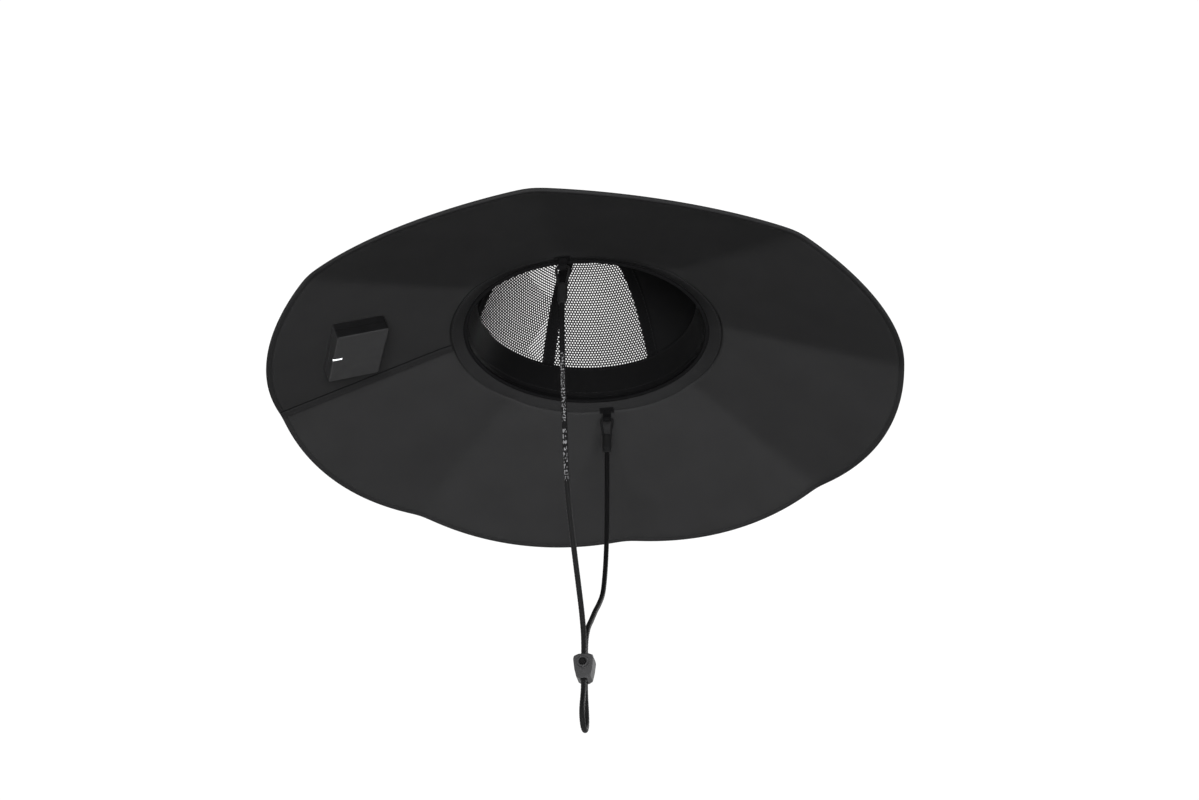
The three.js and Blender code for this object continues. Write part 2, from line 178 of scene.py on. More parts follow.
# %% Build node trees
class Finish:
    def __init__(self, name, colour, roughness):
        self.material = bpy.data.materials.new(name)
        self.material.use_nodes = True
        self.tree = self.material.node_tree
        self.shader = self.tree.nodes["Principled BSDF"]
        self.shader.inputs["Base Color"].default_value = (*colour, 1)
        self.shader.inputs["Roughness"].default_value = roughness
        self.material.diffuse_color = (*colour, 1)

    def node(self, kind, settings=None, **inputs):
        node = self.tree.nodes.new("ShaderNode" + kind)
        for key, value in (settings or {}).items():
            setattr(node, key, value)
        for key, value in inputs.items():
            self.feed(node, key, value)
        return node

    def feed(self, node, key, value):
        """Sets or links one input. A key such as i2 means the input by its number."""
        socket = node.inputs[int(key[1:])] if key[1:].isdigit() else node.inputs[key.replace("_", " ")]
        if isinstance(value, bpy.types.Node):
            value = value.outputs[0]
        if isinstance(value, bpy.types.NodeSocket):
            self.tree.links.new(value, socket)
        else:
            socket.default_value = value

    def set(self, **inputs):
        for key, value in inputs.items():
            self.feed(self.shader, key, value)

    def math(self, operation, first, second=0.0, third=0.0):
        return self.node("Math", {"operation": operation}, i0=first, i1=second, i2=third)

    def between(self, value, low, high, from_low=0.0, from_high=1.0):
        """The value, taken from its own range to the range from low to high."""
        return self.node("MapRange", i0=value, i1=from_low, i2=from_high, i3=low, i4=high)

    def noise(self, scale, where, detail=2.0):
        return self.node("TexNoise", Vector=where, Scale=scale, Detail=detail)

    def tint(self, amount, colour):
        """The colour, made darker or lighter by the factor amount."""
        return self.node("VectorMath", {"operation": "SCALE"}, i0=colour, Scale=amount).outputs[0]


# %% [markdown]
# ## Woven cloth
#
# A plain weave is two sets of threads that pass over and under each other. Seen close, each thread
# is a small hill. Two sine waves across each other give those hills, and a bump node turns them
# into shading without adding a single face. Slow noise makes the dye a little uneven, and fine
# noise stands for loose fibres. Sheen is the soft light that fibres catch at a grazing view.

# %% Woven and ribbed cloth
def cloth_places(finish):
    where = finish.node("Attribute", {"attribute_name": "cloth"}).outputs["Vector"]
    return where, finish.node("SeparateXYZ", i0=where)


def ridges(finish, coordinate, pitch):
    """Rounded ridges, from 0 to 1, across this coordinate."""
    turn = finish.math("MULTIPLY", coordinate, math.pi / pitch)
    return finish.math("ABSOLUTE", finish.math("SINE", turn))


def woven(name, colour, roughness, pitch, depth, ribs=None, sheen=0.0, specular=0.0):
    """pitch is the step between threads, ribs a wider one across, and depth their height."""
    finish = Finish(name, colour, roughness)
    where, axes = cloth_places(finish)
    across = ridges(finish, axes.outputs[0], ribs or pitch)
    along = ridges(finish, axes.outputs[1], pitch)
    threads = finish.math("MULTIPLY", across, along)
    fibres = finish.noise(2400, where)
    dye = finish.noise(24, where, 3)
    height = finish.math("MULTIPLY_ADD", fibres, 0.35, threads)
    bump = finish.node("Bump", Strength=0.7, Distance=depth, Height=height)
    shade = finish.between(dye, 0.95, 1.05, 0.3, 0.7)
    # The threads' hollows are darkened and their tops lightened: painted shade between the threads.
    painted_hollow_shade = finish.between(threads, 0.78, 1.08)
    finish.set(Base_Color=finish.tint(finish.math("MULTIPLY", shade, painted_hollow_shade), colour),
               Roughness=finish.between(fibres, roughness - 0.06, roughness + 0.08, 0.3, 0.7),
               Normal=bump, Sheen_Weight=sheen, Sheen_Roughness=0.45, Specular_IOR_Level=specular)
    return finish.material


thread_pitch, thread_depth = 0.42 * mm, 0.06 * mm
tape_ribs = 0.9 * mm
brim_cloth = woven("brim_cloth", (0.026, 0.026, 0.0265), 0.85, thread_pitch, thread_depth)
seam_cloth = woven("seam_cloth", (0.021, 0.021, 0.0215), 0.85, thread_pitch, thread_depth)
band_cloth = woven("band_cloth", (0.0185, 0.0185, 0.019), 0.85, thread_pitch, thread_depth)
binding_cloth = woven("binding_cloth", (0.0205, 0.0205, 0.021), 0.8, thread_pitch, 0.08 * mm,
                      ribs=tape_ribs, specular=0.01)
panel_cloth = woven("front_panel_cloth", (0.007, 0.007, 0.0073), 0.82, 0.5 * mm, 0.08 * mm,
                    specular=0.02)
tape_cloth = woven("ribbed_tape", (0.005, 0.005, 0.0053), 0.6, 0.45 * mm, 0.12 * mm,
                   ribs=tape_ribs, specular=0.03)
knit_cloth = woven("sweatband_knit", (0.003, 0.003, 0.0032), 0.34, 0.35 * mm, 0.015 * mm,
                   specular=0.2)
thread_black = woven("sewing_thread", (0.014, 0.014, 0.0145), 0.6, 0.3 * mm, 0.05 * mm,
                     sheen=0.004, specular=0.08)
net_yarn = woven("net_yarn", (0.007, 0.007, 0.0075), 0.7, 0.4 * mm, 0.05 * mm,
                 sheen=0.01, specular=0.25)
print("cloth finishes made")

# %% [markdown]
# ## The chin cord
#
# The cord is one length of round braid, 4 mm thick. It leaves the moulded end at the wearer's
# right, runs down through the lock, turns in a plain loop below it and climbs to the other end.
# The route's points are chosen as if the cord hung from a head, and are given in
# millimetres across and up. A smooth curve through them comes from the centripetal Catmull-Rom
# rule: each stretch leaves and meets its points along the line between their neighbours, and never
# swings out between close points.
#
# Pieces that touch on the real hat stand a hair apart here, by the distance called clearance.

# %% The cord's route
clearance = 0.3 * mm
strap_turn = math.radians(-0.8)
cord_radius = 2 * mm
sleeve_radius = 2.95 * mm
end_low, end_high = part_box("cord_end_left")
anchor_radius = end_high.x - sleeve_radius
cord_top = end_low.z - clearance
straight_drop = 4
cord_ends = [(anchor_radius / mm, cord_top / mm), (anchor_radius / mm, cord_top / mm - straight_drop)]
right_route = [
    (-102.3, -62), (-99, -84), (-94, -108), (-88, -132), (-82, -155), (-75, -175),
    (-62, -194), (-45, -211), (-27, -228), (-12, -243), (-4.6, -255),
]
lower_route = [
    (-2.9, -264), (-2.9, -270), (-2.9, -276), (-2.9, -282), (-2.9, -288), (-3.6, -295), (-5.4, -301),
    (-7.8, -307.2), (-9, -313), (-7.8, -317.5), (-4.5, -320.8), (0, -322), (4.5, -320.8), (7.8, -317.5),
    (9, -313), (7.8, -307.2), (5.4, -301), (3.6, -295), (2.9, -288),
    (2.9, -282), (2.9, -276), (2.9, -270), (2.9, -264),
]
left_route = [
    (4.8, -255), (12.5, -243), (28, -229), (46, -213), (64, -198), (80, -182), (90, -162),
    (96.5, -140), (100.2, -118), (101.8, -94), (102.3, -68),
]
route = ([(-across, up) for across, up in cord_ends] + right_route + lower_route + left_route
         + cord_ends[::-1])


def turned(points):
    """Points of the strap's own plane, turned with it about the hat's axis."""
    points = np.asarray(points, float)
    cos, sin = math.cos(strap_turn), math.sin(strap_turn)
    return np.stack([points[..., 0] * cos - points[..., 1] * sin,
                     points[..., 0] * sin + points[..., 1] * cos, points[..., 2]], -1)


# %% A smooth curve through the points
def curve_through(points, samples):
    points = np.asarray(points, float)
    points = np.vstack([2 * points[0] - points[1], points, 2 * points[-1] - points[-2]])
    share = np.linspace(0, 1, samples, endpoint=False)[:, None]
    stretches = []
    for before, start, end, after in zip(points, points[1:], points[2:], points[3:]):
        gaps = [math.sqrt(np.linalg.norm(b - a)) for a, b in ((before, start), (start, end), (end, after))]
        leave = ((start - before) / gaps[0] - (end - before) / (gaps[0] + gaps[1])) * gaps[1] + end - start
        meet = ((after - end) / gaps[2] - (after - start) / (gaps[1] + gaps[2])) * gaps[1] + end - start
        bend = 2 * (start - end) + leave + meet
        stretches.append(start + share * (leave + share * (-3 * (start - end) - 2 * leave - meet
                                                           + share * bend)))
    return np.vstack([*stretches, points[-2]])


def even_steps(points, step):
    """The same line, with points at even distances, and their distances from its start."""
    gone = np.concatenate([[0], np.cumsum(np.linalg.norm(np.diff(points, axis=0), axis=1))])
    places = np.linspace(0, gone[-1], round(gone[-1] / step) + 1)
    return np.stack([np.interp(places, gone, points[:, k]) for k in range(3)], -1), places


flat_route = [(across * mm, 0, up * mm) for across, up in route]
curve_samples, cord_step = 24, 0.55 * mm
cord_line, cord_gone = even_steps(curve_through(turned(flat_route), curve_samples), cord_step)

# %% [markdown]
# A round braid is made of strands that wind both ways and pass over each other. Where one lies on
# top, the surface has a small slanting lozenge. Two slanting sine waves multiplied together give
# exactly that pattern, so the tube's corners are drawn in where it dips. This is real geometry,
# fine enough to catch the light at the cord's outline.

# %% The braided cord
braid_strands = 8
braid_pitch = 2.6 * mm
braid_depth = 0.3 * mm
braid_fullness = 0.6
cord_sides = 32


def braided_tube(name, line, gone, radius):
    ahead = np.gradient(line, axis=0)
    ahead /= np.linalg.norm(ahead, axis=1)[:, None]
    side = turned(np.array([[0.0, 1.0, 0.0]]))
    front = np.cross(ahead, side)
    angle = np.linspace(0, 2 * math.pi, cord_sides, endpoint=False)
    wind = angle[None, :] * braid_strands / 2
    climb = gone[:, None] * math.pi / braid_pitch
    lozenge = np.abs(np.sin(wind + climb) * np.sin(wind - climb))
    reach = radius - braid_depth * (1 - lozenge ** braid_fullness)
    points = (line[:, None] + reach[..., None]
              * (np.cos(angle)[None, :, None] * side + np.sin(angle)[None, :, None] * front[:, None]))
    corner = np.arange(points.shape[0] * cord_sides).reshape(-1, cord_sides)
    faces = ring_faces(corner[:-1], corner[1:]) + [corner[0].tolist(), corner[-1][::-1].tolist()]
    flat = np.stack(np.broadcast_arrays(gone[:, None], angle[None, :] / math.tau), -1)
    return new_piece(name, points.reshape(-1, 3), faces, flat.reshape(-1, 2), sharp_angle=80)


braid = braided_tube("braided_cord", cord_line, cord_gone, cord_radius)
print("rings of the braid:", len(cord_line))

# %% [markdown]
# The cord's finish is black polyester yarn. One stretch near the wearer's right end carries short
# pale flecks on its outer side. They are drawn in the material from the same `cloth` point, which
# here holds the distance along the cord and the share of the way round it. A fleck shows where
# stretched noise is high, on the side that faces out, between two distances. A wave along the cord
# leaves even gaps between the flecks. The first part has fine ones, and after a short pause the
# second has coarser ones.

# %% The cord's finish
fleck_start, fleck_change, fleck_end = 40 * mm, 90.5 * mm, 132 * mm
fleck_pause = 5.5 * mm
fleck_fine, fleck_coarse = 1.3 * mm, 2.6 * mm
flecks_round = 9.0
fleck_level = 0.53
fleck_group, fleck_group_share = 1.6, 0.74
outer_side, outer_reach = 0.75, 0.13


def cord_finish():
    colour = (0.004, 0.004, 0.0042)
    finish = Finish("cord_yarn", colour, 0.5)
    where, axes = cloth_places(finish)
    gone, round_share = axes.outputs[0], axes.outputs[1]
    strands = finish.noise(900, where, 2)
    def flecks(pitch, start, end):
        place = finish.node("CombineXYZ", X=finish.math("DIVIDE", gone, pitch),
                            Y=finish.math("MULTIPLY", round_share, flecks_round))
        spots = finish.noise(1.0, place, 0)
        on = finish.math("GREATER_THAN", spots, fleck_level)
        group = finish.math("FRACT", finish.math("DIVIDE", gone, pitch * fleck_group))
        grouped = finish.math("LESS_THAN", group, fleck_group_share)
        inside = finish.math("MULTIPLY", finish.math("GREATER_THAN", gone, start),
                             finish.math("LESS_THAN", gone, end))
        return finish.math("MULTIPLY", finish.math("MULTIPLY", on, grouped), inside)
    both = finish.math("MAXIMUM", flecks(fleck_fine, fleck_start, fleck_change),
                       flecks(fleck_coarse, fleck_change + fleck_pause, fleck_end))
    away = finish.math("ABSOLUTE", finish.math("SUBTRACT", round_share, outer_side))
    shown = finish.math("MULTIPLY", both, finish.math("LESS_THAN", away, outer_reach))
    worn = finish.math("MULTIPLY", shown, finish.between(strands, 0.55, 1.0, 0.3, 0.6))
    mix = finish.node("Mix", {"data_type": "RGBA"}, Factor=worn)
    mix.inputs[6].default_value = (*colour, 1)
    mix.inputs[7].default_value = (0.17, 0.17, 0.175, 1)
    bump = finish.node("Bump", Strength=0.5, Distance=0.05 * mm, Height=strands)
    finish.set(Base_Color=mix.outputs[2], Normal=bump, Sheen_Weight=0.005, Sheen_Roughness=0.4,
               Specular_IOR_Level=0.18)
    return finish.material


def dress(piece, material, slot, *nodes, body="hat"):
    """Gives a piece its finish, hides the solids that it stands for, hangs it on its body and prints its
    slot.
    """
    piece.data.materials.clear()
    piece.data.materials.append(material)
    if nodes:
        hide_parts(*nodes)
    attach(piece, body)
    print(f"{piece.name}: {len(piece.data.polygons)} faces, {slot}")
    return piece


dress(braid, cord_finish(), "cord_braid", "chin_cord")

# %% [markdown]
# ## The brim
#
# The brim is a shallow cone cut by eight flat facets, like a folded paper umbrella. A facet's
# height falls straight outwards. Between two facets the lower plane has to take over, and a sum of
# high powers does that softly: the larger term wins, and near the fold both count, which rounds
# it. Close to the head opening the facets melt into a round cone.

# %% The brim's shape
opening_radius = 586 * mm / math.tau
band_width = 10.7 * mm
band_wall = 2 * mm
band_slope = math.radians(28)
brim_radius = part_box("brim_binding")[1].x
brim_wall = 2.4 * mm
brim_slope = math.radians(22.5)
facet_count = 8
facet_turn = math.tau / facet_count
facet_inset = 5.3 * mm
fold_sharpness = 80
band_radius = opening_radius + band_width
settle_radius = opening_radius + 2 * band_width
binding_depth = 1.8 * mm


def fold_factor(angle):
    turn = angle / facet_turn - 0.5
    near = np.abs(turn - np.round(turn)) * facet_turn
    total = np.cos(near) ** fold_sharpness + np.cos(facet_turn - near) ** fold_sharpness
    return total ** (1 / fold_sharpness)


def underside(radius, angle):
    cone = -math.tan(band_slope) * (radius - opening_radius)
    facet = -math.tan(brim_slope) * (radius * fold_factor(angle) - (opening_radius - facet_inset))
    settle = np.clip((radius - opening_radius) / (settle_radius - opening_radius), 0, 1)
    settle = settle * settle * (3 - 2 * settle)
    return cone + (facet - cone) * settle


def polar(radius, angle, z):
    return np.stack([radius * np.cos(angle), radius * np.sin(angle), z], -1)


rim_height = float(underside(np.array(brim_radius), np.array(facet_turn / 2)))
print("the rim lies", round(-rim_height, 4), "m below the head opening in a facet's middle")

# %% [markdown]
# A full ring of one-degree columns is plenty for the folds. The weave of the whole brim runs
# straight across it, so a corner's place on the cloth is simply its X and Y.

# %% The brim's cloth
ring_columns = np.radians(np.arange(0, 360, 1.0))
brim_lift = brim_wall / math.cos(brim_slope)


def brim_place(angle, radius, thick):
    return polar(radius, angle, underside(radius, angle) + brim_lift / 2 + thick / math.cos(brim_slope))


def flat_xy(angle, radius):
    return np.stack([radius * np.cos(angle), radius * np.sin(angle)], -1)


brim_edge = brim_radius - binding_depth - clearance
brim_rows = np.concatenate([np.linspace(band_radius + clearance, settle_radius, 6),
                            np.linspace(settle_radius, brim_edge, 22)[1:]])
brim = sweep("brim_shell", ring_columns, sheet_section(brim_rows, brim_wall), brim_place, flat_xy, True)
dress(brim, brim_cloth, "brim_cloth", "brim")

# %% [markdown]
# ## The edge binding
#
# A strip of tape folds over the brim's edge and grips it from both sides, so no light shows
# between the two. Its section is a narrow lip above and below that ends in a half-round at the
# rim. The same sweep makes it, with its own section.

# %% The binding
binding_proud = 0.3 * mm
binding_lip = 1.8 * mm
lip_dip = 0.15 * mm
binding_half = brim_lift / 2 + binding_proud


def binding_section(steps=9):
    turn = np.linspace(0, math.pi / 2, steps, endpoint=False)
    edge = [(brim_radius - binding_depth * (1 - math.sin(a)), -binding_half * math.cos(a)) for a in turn]
    lip = [(brim_edge - binding_lip, -binding_half + lip_dip),
           (brim_edge - 0.8 * binding_lip, -binding_half)]
    lower = lip + edge
    return np.array(lower + [(along, -thick) for along, thick in reversed(lower)])


def ring_place(lift):
    """Places a ring at this height over the brim's underside."""
    def place(angle, radius, thick):
        return polar(radius, angle, underside(radius, angle) + lift + thick)
    return place


def ring_cloth(at_radius):
    """Cloth that runs round the hat at this radius."""
    def cloth(angle, off):
        return np.stack([angle * at_radius, off], -1)
    return cloth


binding = sweep("edge_binding", ring_columns, binding_section(), ring_place(brim_lift / 2),
                ring_cloth(brim_radius), True)
dress(binding, binding_cloth, "trim_cloth", "brim_binding")

# %% [markdown]
# ## The opening band
#
# A flat band of doubled cloth is stitched round the head opening. Between its two rows of stitches
# it puffs up a little, because the thread pulls the cloth down only along those rows.

# %% The opening band
band_lift = band_wall / math.cos(band_slope)
band_puff = 0.25 * mm
band_stitches = (opening_radius + 1.6 * mm, band_radius - 1.4 * mm)


def band_place(angle, radius, thick):
    share = np.clip((radius - band_stitches[0]) / (band_stitches[1] - band_stitches[0]), 0, 1)
    puff = band_puff * np.sin(share * math.pi) ** 0.5 * np.sign(thick)
    mid = underside(radius, angle) + band_lift / 2
    return polar(radius, angle, mid + thick / math.cos(band_slope) + puff)


band_rows = np.linspace(opening_radius, band_radius, 15)
band = sweep("opening_band_cloth", ring_columns, sheet_section(band_rows, band_wall),
             band_place, ring_cloth(opening_radius), True)
dress(band, band_cloth, "brim_cloth", "opening_band")

# %% [markdown]
# On the upper side a narrow tape lies over the join of band and brim. It also stops the light that
# would shine through the small gap between the two.

# %% The joining tape
join_half = 3.5 * mm
join_wall = 0.8 * mm
join_rows = np.linspace(band_radius - join_half, band_radius + join_half, 8)
join = sweep("joining_tape", ring_columns, sheet_section(join_rows, join_wall),
             ring_place(brim_lift + join_wall / 2), ring_cloth(band_radius), True)
dress(join, brim_cloth, "brim_cloth")

# %% [markdown]
# ## The back seam
#
# The brim's cloth is one long piece whose ends meet at the back. There the cloth is lapped: a
# narrow strip lies under the brim beside the fold. A thin black strip along its free edge is
# painted shade: it stands for the dark groove there. Both are swept along the same lines, so the
# black strip follows the lap wherever the brim bends.

# %% The lapped seam
lap_width = 8 * mm
lap_wall = 1 * mm
shade_strip_gap, shade_strip_width = 0.1 * mm, 1.3 * mm
shade_strip_wall = 0.7 * lap_wall
back_angle = math.radians(90)


def lap_place(along, off, thick):
    radius = np.hypot(off, along)
    radius = radius * brim_edge / math.hypot(lap_width, brim_edge)
    angle = back_angle + np.arctan2(off, along)
    return polar(radius, angle, underside(radius, angle) - clearance - lap_wall / 2 + thick)


def straight_cloth(first, second):
    """Cloth laid along the piece's own two directions."""
    return np.stack([first, second], -1)


lap_columns = np.linspace(band_radius + clearance, brim_edge, 60)
lap_rows = np.linspace(0, lap_width, 7)
lap = sweep("back_seam_lap", lap_columns, sheet_section(lap_rows, lap_wall), lap_place, straight_cloth)
dress(lap, seam_cloth, "brim_cloth", "back_seam")
# A black strip beside the lap's free edge: painted shade of the groove, in the tape's cloth.
shade_strip_rows = np.linspace(lap_width + shade_strip_gap, lap_width + shade_strip_width, 4)
lap_shade_strip = sweep("back_seam_shade_strip", lap_columns, sheet_section(shade_strip_rows, shade_strip_wall), lap_place,
                 straight_cloth)
dress(lap_shade_strip, tape_cloth, "trim_cloth")

# %% [markdown]
# ## The crown's dome
#
# The crown rises steeply from the head and rounds over near its top. A superellipse does this with
# one exponent. Pieces of the crown are easier to place by their distance along the cloth from the
# crown's foot than by height, so the curve is measured once, in small steps, and looked up.

# %% The dome
crown_height = 108 * mm
crown_squareness = 3.9
crown_wall = 1.5 * mm
mesh_flatness = 0.5
seam_turn = math.radians(60)
sweatband_height = 24 * mm
sweatband_wall = 1.2 * mm
sweatband_inset = 0.7 * mm
sweatband_outer = opening_radius - sweatband_inset + sweatband_wall
sweatband_foot = band_lift + clearance
foot_share = (1 - sweatband_foot / crown_height) ** (1 / crown_squareness)
crown_radius = (sweatband_outer + clearance) / foot_share
crown_foot = band_lift - math.tan(band_slope) * (sweatband_outer - opening_radius) + clearance
front_start = back_angle + 2 * seam_turn


def dome_radius(z):
    return crown_radius * (1 - z / crown_height) ** (1 / crown_squareness)


dome_radii = np.linspace(dome_radius(crown_foot), 0, 4000)
dome_heights = crown_height * (1 - (dome_radii / crown_radius) ** crown_squareness)
dome_gone = np.concatenate([[0], np.cumsum(np.hypot(np.diff(dome_radii), np.diff(dome_heights)))])
print("cloth from the crown's foot to its top:", round(dome_gone[-1], 4), "m")

# %% [markdown]
# A see-through panel is pulled flat between its two seams, which makes the crown slightly
# six-sided there. The wide front panel stays round.

# %% A point on the crown
def flattening(angle, radius):
    sector = ((angle - front_start) / seam_turn) % 6
    local = (sector - np.floor(sector) - 0.5) * seam_turn
    chord = math.cos(seam_turn / 2) / np.cos(local)
    fullness = np.sin(math.pi * np.minimum(1, radius / crown_radius))
    return np.where(sector < 2, 1, 1 - mesh_flatness * fullness * (1 - chord))


def crown_point(radius, angle, out):
    share = radius / crown_radius
    fall = crown_height * crown_squareness / crown_radius * share ** (crown_squareness - 1)
    length = np.hypot(1, fall)
    reach = radius * flattening(angle, radius) + out * fall / length
    return polar(reach, angle, crown_height * (1 - share ** crown_squareness) + out / length)


def radius_at(gone):
    return np.interp(gone, dome_gone, dome_radii)


print("radius halfway up the crown's cloth:", round(float(radius_at(dome_gone[-1] / 2)), 4), "m")

# %% [markdown]
# ## The front panel
#
# One wide piece of matt cloth, blacker than the brim's, covers the front third of the crown. Its
# columns fan out from the top, and the small gap left at each side is its seam.

# %% The front panel
seam_gap = clearance
tip_radius = 1.2 * mm
tip_gone = float(np.interp(-tip_radius, -dome_radii, dome_gone))


def gore_place(start, turn, gap=seam_gap):
    """Places a panel between two seams, half a gap away from each."""
    def place(share, gone, thick):
        radius = radius_at(gone)
        inset = np.arcsin(gap / 2 / radius)
        angle = start + inset + share * (turn - 2 * inset)
        return crown_point(radius, angle, crown_wall / 2 + thick)
    return place


def gore_cloth(turn):
    def cloth(share, gone):
        return np.stack([(share - 0.5) * turn * radius_at(gone), gone], -1)
    return cloth


front_rows = np.linspace(0, tip_gone, 40)
front = sweep("front_panel", np.linspace(0, 1, 61), sheet_section(front_rows, crown_wall, 2),
              gore_place(front_start, 2 * seam_turn), gore_cloth(2 * seam_turn))
dress(front, panel_cloth, "crown_cloth", "crown_front")

# %% [markdown]
# ## The open mesh panels
#
# Four panels are open net, and light comes through them. An image of holes would look flat, so the
# net is cut for real. Its cells are hexagons in staggered rows. Each cell is a ring of six quads
# between the shared outline of the cell and its own smaller hole. The net is laid out flat, each
# corner is shared by its neighbours, and only then is it placed on the dome and given thickness.

# %% Lay out the net
net_pitch = 2.3 * mm
hole_share = 0.555
net_wall = 0.45 * mm
net_hem = 2.6 * mm
same_corner = 0.05 * mm


def hexagon(radius):
    angle = np.radians(30 + 60 * np.arange(6))
    return np.stack([radius * np.cos(angle), radius * np.sin(angle)], -1)


def net_cells(turn):
    """Middles of the cells that lie inside a panel as wide as this turn."""
    row_step = net_pitch * math.sqrt(3) / 2
    middles = []
    for row in range(int(tip_gone / row_step) + 1):
        gone = row * row_step + net_pitch / 2
        half = turn / 2 * radius_at(gone) - net_hem / 2
        shift = net_pitch / 2 if row % 2 else 0
        count = int(max(half, 0) / net_pitch) + 1
        for column in range(-count, count + 1):
            middle = column * net_pitch + shift
            if abs(middle) < half and gone < tip_gone - net_pitch:
                middles.append((middle, gone))
    return np.array(middles)


# %% [markdown]
# Beside the tape that runs over the top, the real net lies in a small fold. Seen along the fold,
# its holes draw out into slits. Cells inside two triangles of the flat net get such slits: the
# cell's outline stays, and only its hole is longer one way and narrower the other.

# %% Holes and slits
slit_length, slit_width = 1.6, 0.8
folded_triangles = [
    (((4, 90), (-22, 112), (-33, 80)), 0),
    (((-26, 34), (-36, 76), (-44, 22)), math.radians(120)),
]


def inside_triangle(points, corners):
    corners = np.array(corners, float) * mm
    sides = []
    for start, end in zip(corners, np.roll(corners, -1, 0)):
        along, reach = end - start, points - start
        sides.append(along[0] * reach[:, 1] - along[1] * reach[:, 0] > 0)
    return np.all(sides, axis=0)


def hole_outlines(middles, triangles):
    plain = hexagon(net_pitch / math.sqrt(3)) * hole_share
    outlines = np.repeat(plain[None], len(middles), 0)
    for corners, direction in triangles:
        ahead = np.array((math.cos(direction), math.sin(direction)))
        aside = np.array((-ahead[1], ahead[0]))
        slit = slit_length * np.outer(plain @ ahead, ahead) + slit_width * np.outer(plain @ aside, aside)
        outlines[inside_triangle(middles, corners)] = slit
    return middles[:, None] + outlines


def net_sheet(middles, triangles):
    """Flat corners and six quads a cell, with the cell outlines shared."""
    outline = hexagon(net_pitch / math.sqrt(3))
    cells = (middles[:, None] + outline[None]).reshape(-1, 2)
    keys = np.round(cells / same_corner).astype(int)
    _, first, shared = np.unique(keys, axis=0, return_index=True, return_inverse=True)
    corners = cells[first]
    shared = shared.reshape(-1, 6)
    holes = hole_outlines(middles, triangles).reshape(-1, 2)
    inner = len(corners) + np.arange(len(holes)).reshape(-1, 6)
    quads = np.stack([shared, np.roll(shared, -1, 1), np.roll(inner, -1, 1), inner], -1)
    return np.vstack([corners, holes]), quads.reshape(-1, 4), inner


# %% [markdown]
# On the dome, each point of the net keeps its distance from the crown's foot and its distance to
# the side of the panel's middle line, so the cells keep their size. Two skins, one over the other,
# and a wall round every hole make the net a sheet with a thickness of its own.

# %% Place a net on the dome
def make_net(name, start, triangles):
    middles = net_cells(seam_turn)
    flat, quads, holes = net_sheet(middles, triangles)
    radius = radius_at(flat[:, 1])
    angle = start + seam_turn / 2 + flat[:, 0] / np.maximum(radius, net_pitch)
    skins = [crown_point(radius, angle, crown_wall / 2 + side * net_wall / 2) for side in (-1, 1)]
    count = len(flat)
    around = np.roll(holes, -1, 1)
    walls = np.stack([holes, around, around + count, holes + count], -1).reshape(-1, 4)
    faces = np.vstack([quads[:, ::-1], quads + count, walls]).tolist()
    return new_piece(name, np.vstack(skins), faces, np.vstack([flat, flat]), sharp_angle=50)


folded_net = 2
net_starts = [front_start + (2 + number) * seam_turn for number in range(4)]
for number, start in enumerate(net_starts, 1):
    net = make_net(f"net_panel_{number}", start, folded_triangles if number == folded_net else ())
    dress(net, net_yarn, "mesh_cloth", f"crown_mesh_{number}")

# %% [markdown]
# Each net is hemmed with a narrow strip of plain cloth along its two seams and its foot, where the
# real one is turned over and sewn. The strips hide the cut cells.

# %% Hems round the nets
hem_wall = 1.1 * mm
hem_columns = np.linspace(0, tip_gone, 50)
hem_section = sheet_section(np.linspace(0, net_hem, 4), hem_wall, 2)
widest_turn = 0.98 * seam_turn / 2


def hem_place(seam, side):
    """Places a strip on one side of a seam, and never past the panel's middle."""
    def place(gone, off, thick):
        radius = radius_at(gone)
        angle = seam + side * np.minimum((off + seam_gap / 2) / radius, widest_turn)
        return crown_point(radius, angle, crown_wall / 2 + thick)
    return place


def crosswise_cloth(first, second):
    """Cloth laid with its second direction across."""
    return np.stack([second, first], -1)


for number, start in enumerate(net_starts, 1):
    for edge, seam, side in ((1, start, 1), (2, start + seam_turn, -1)):
        hem = sweep(f"net_hem_{number}_{edge}", hem_columns, hem_section, hem_place(seam, side),
                    crosswise_cloth)
        dress(hem, panel_cloth, "mesh_cloth")

foot_height = 6 * mm
foot_columns = np.linspace(0.004, 0.996, 40)
foot_section = sheet_section(np.linspace(0, foot_height, 5), hem_wall, 2)
for number, start in enumerate(net_starts, 1):
    foot = sweep(f"net_foot_{number}", foot_columns, foot_section, gore_place(start, seam_turn, gap=0),
                 gore_cloth(seam_turn))
    dress(foot, panel_cloth, "mesh_cloth")

# %% [markdown]
# All the seams meet at the very top. A small round patch of cloth lies over that point outside,
# as a cap maker puts one there to hide the raw tips.

# %% The patch on top
patch_reach, patch_thickness = 8 * mm, 0.9 * mm
top_section = sheet_section(np.linspace(0, patch_reach, 7), patch_thickness)


def top_place(angle, radius, thick):
    return crown_point(radius, angle, crown_wall + patch_thickness / 2 + thick)


top_patch = sweep("crown_top_patch", ring_columns[::6], top_section, top_place, flat_xy, True)
dress(top_patch, panel_cloth, "crown_cloth")

# %% [markdown]
# ## Tapes inside the seams
#
# Ribbed tape covers every seam inside the crown, so that no raw edge touches the head. One tape
# runs over the top from seam to seam, and the other three stop beside it.

# %% The tapes
tape_width = 10.5 * mm
tape_wall = 1 * mm
tape_gap = 0.6 * mm
shortest_step = 0.2 * mm


def tape_place(seam):
    def place(along, off, thick):
        radius = np.hypot(along, off)
        angle = seam + np.arctan2(off, along)
        return crown_point(radius, angle, -tape_gap - tape_wall / 2 + thick)
    return place


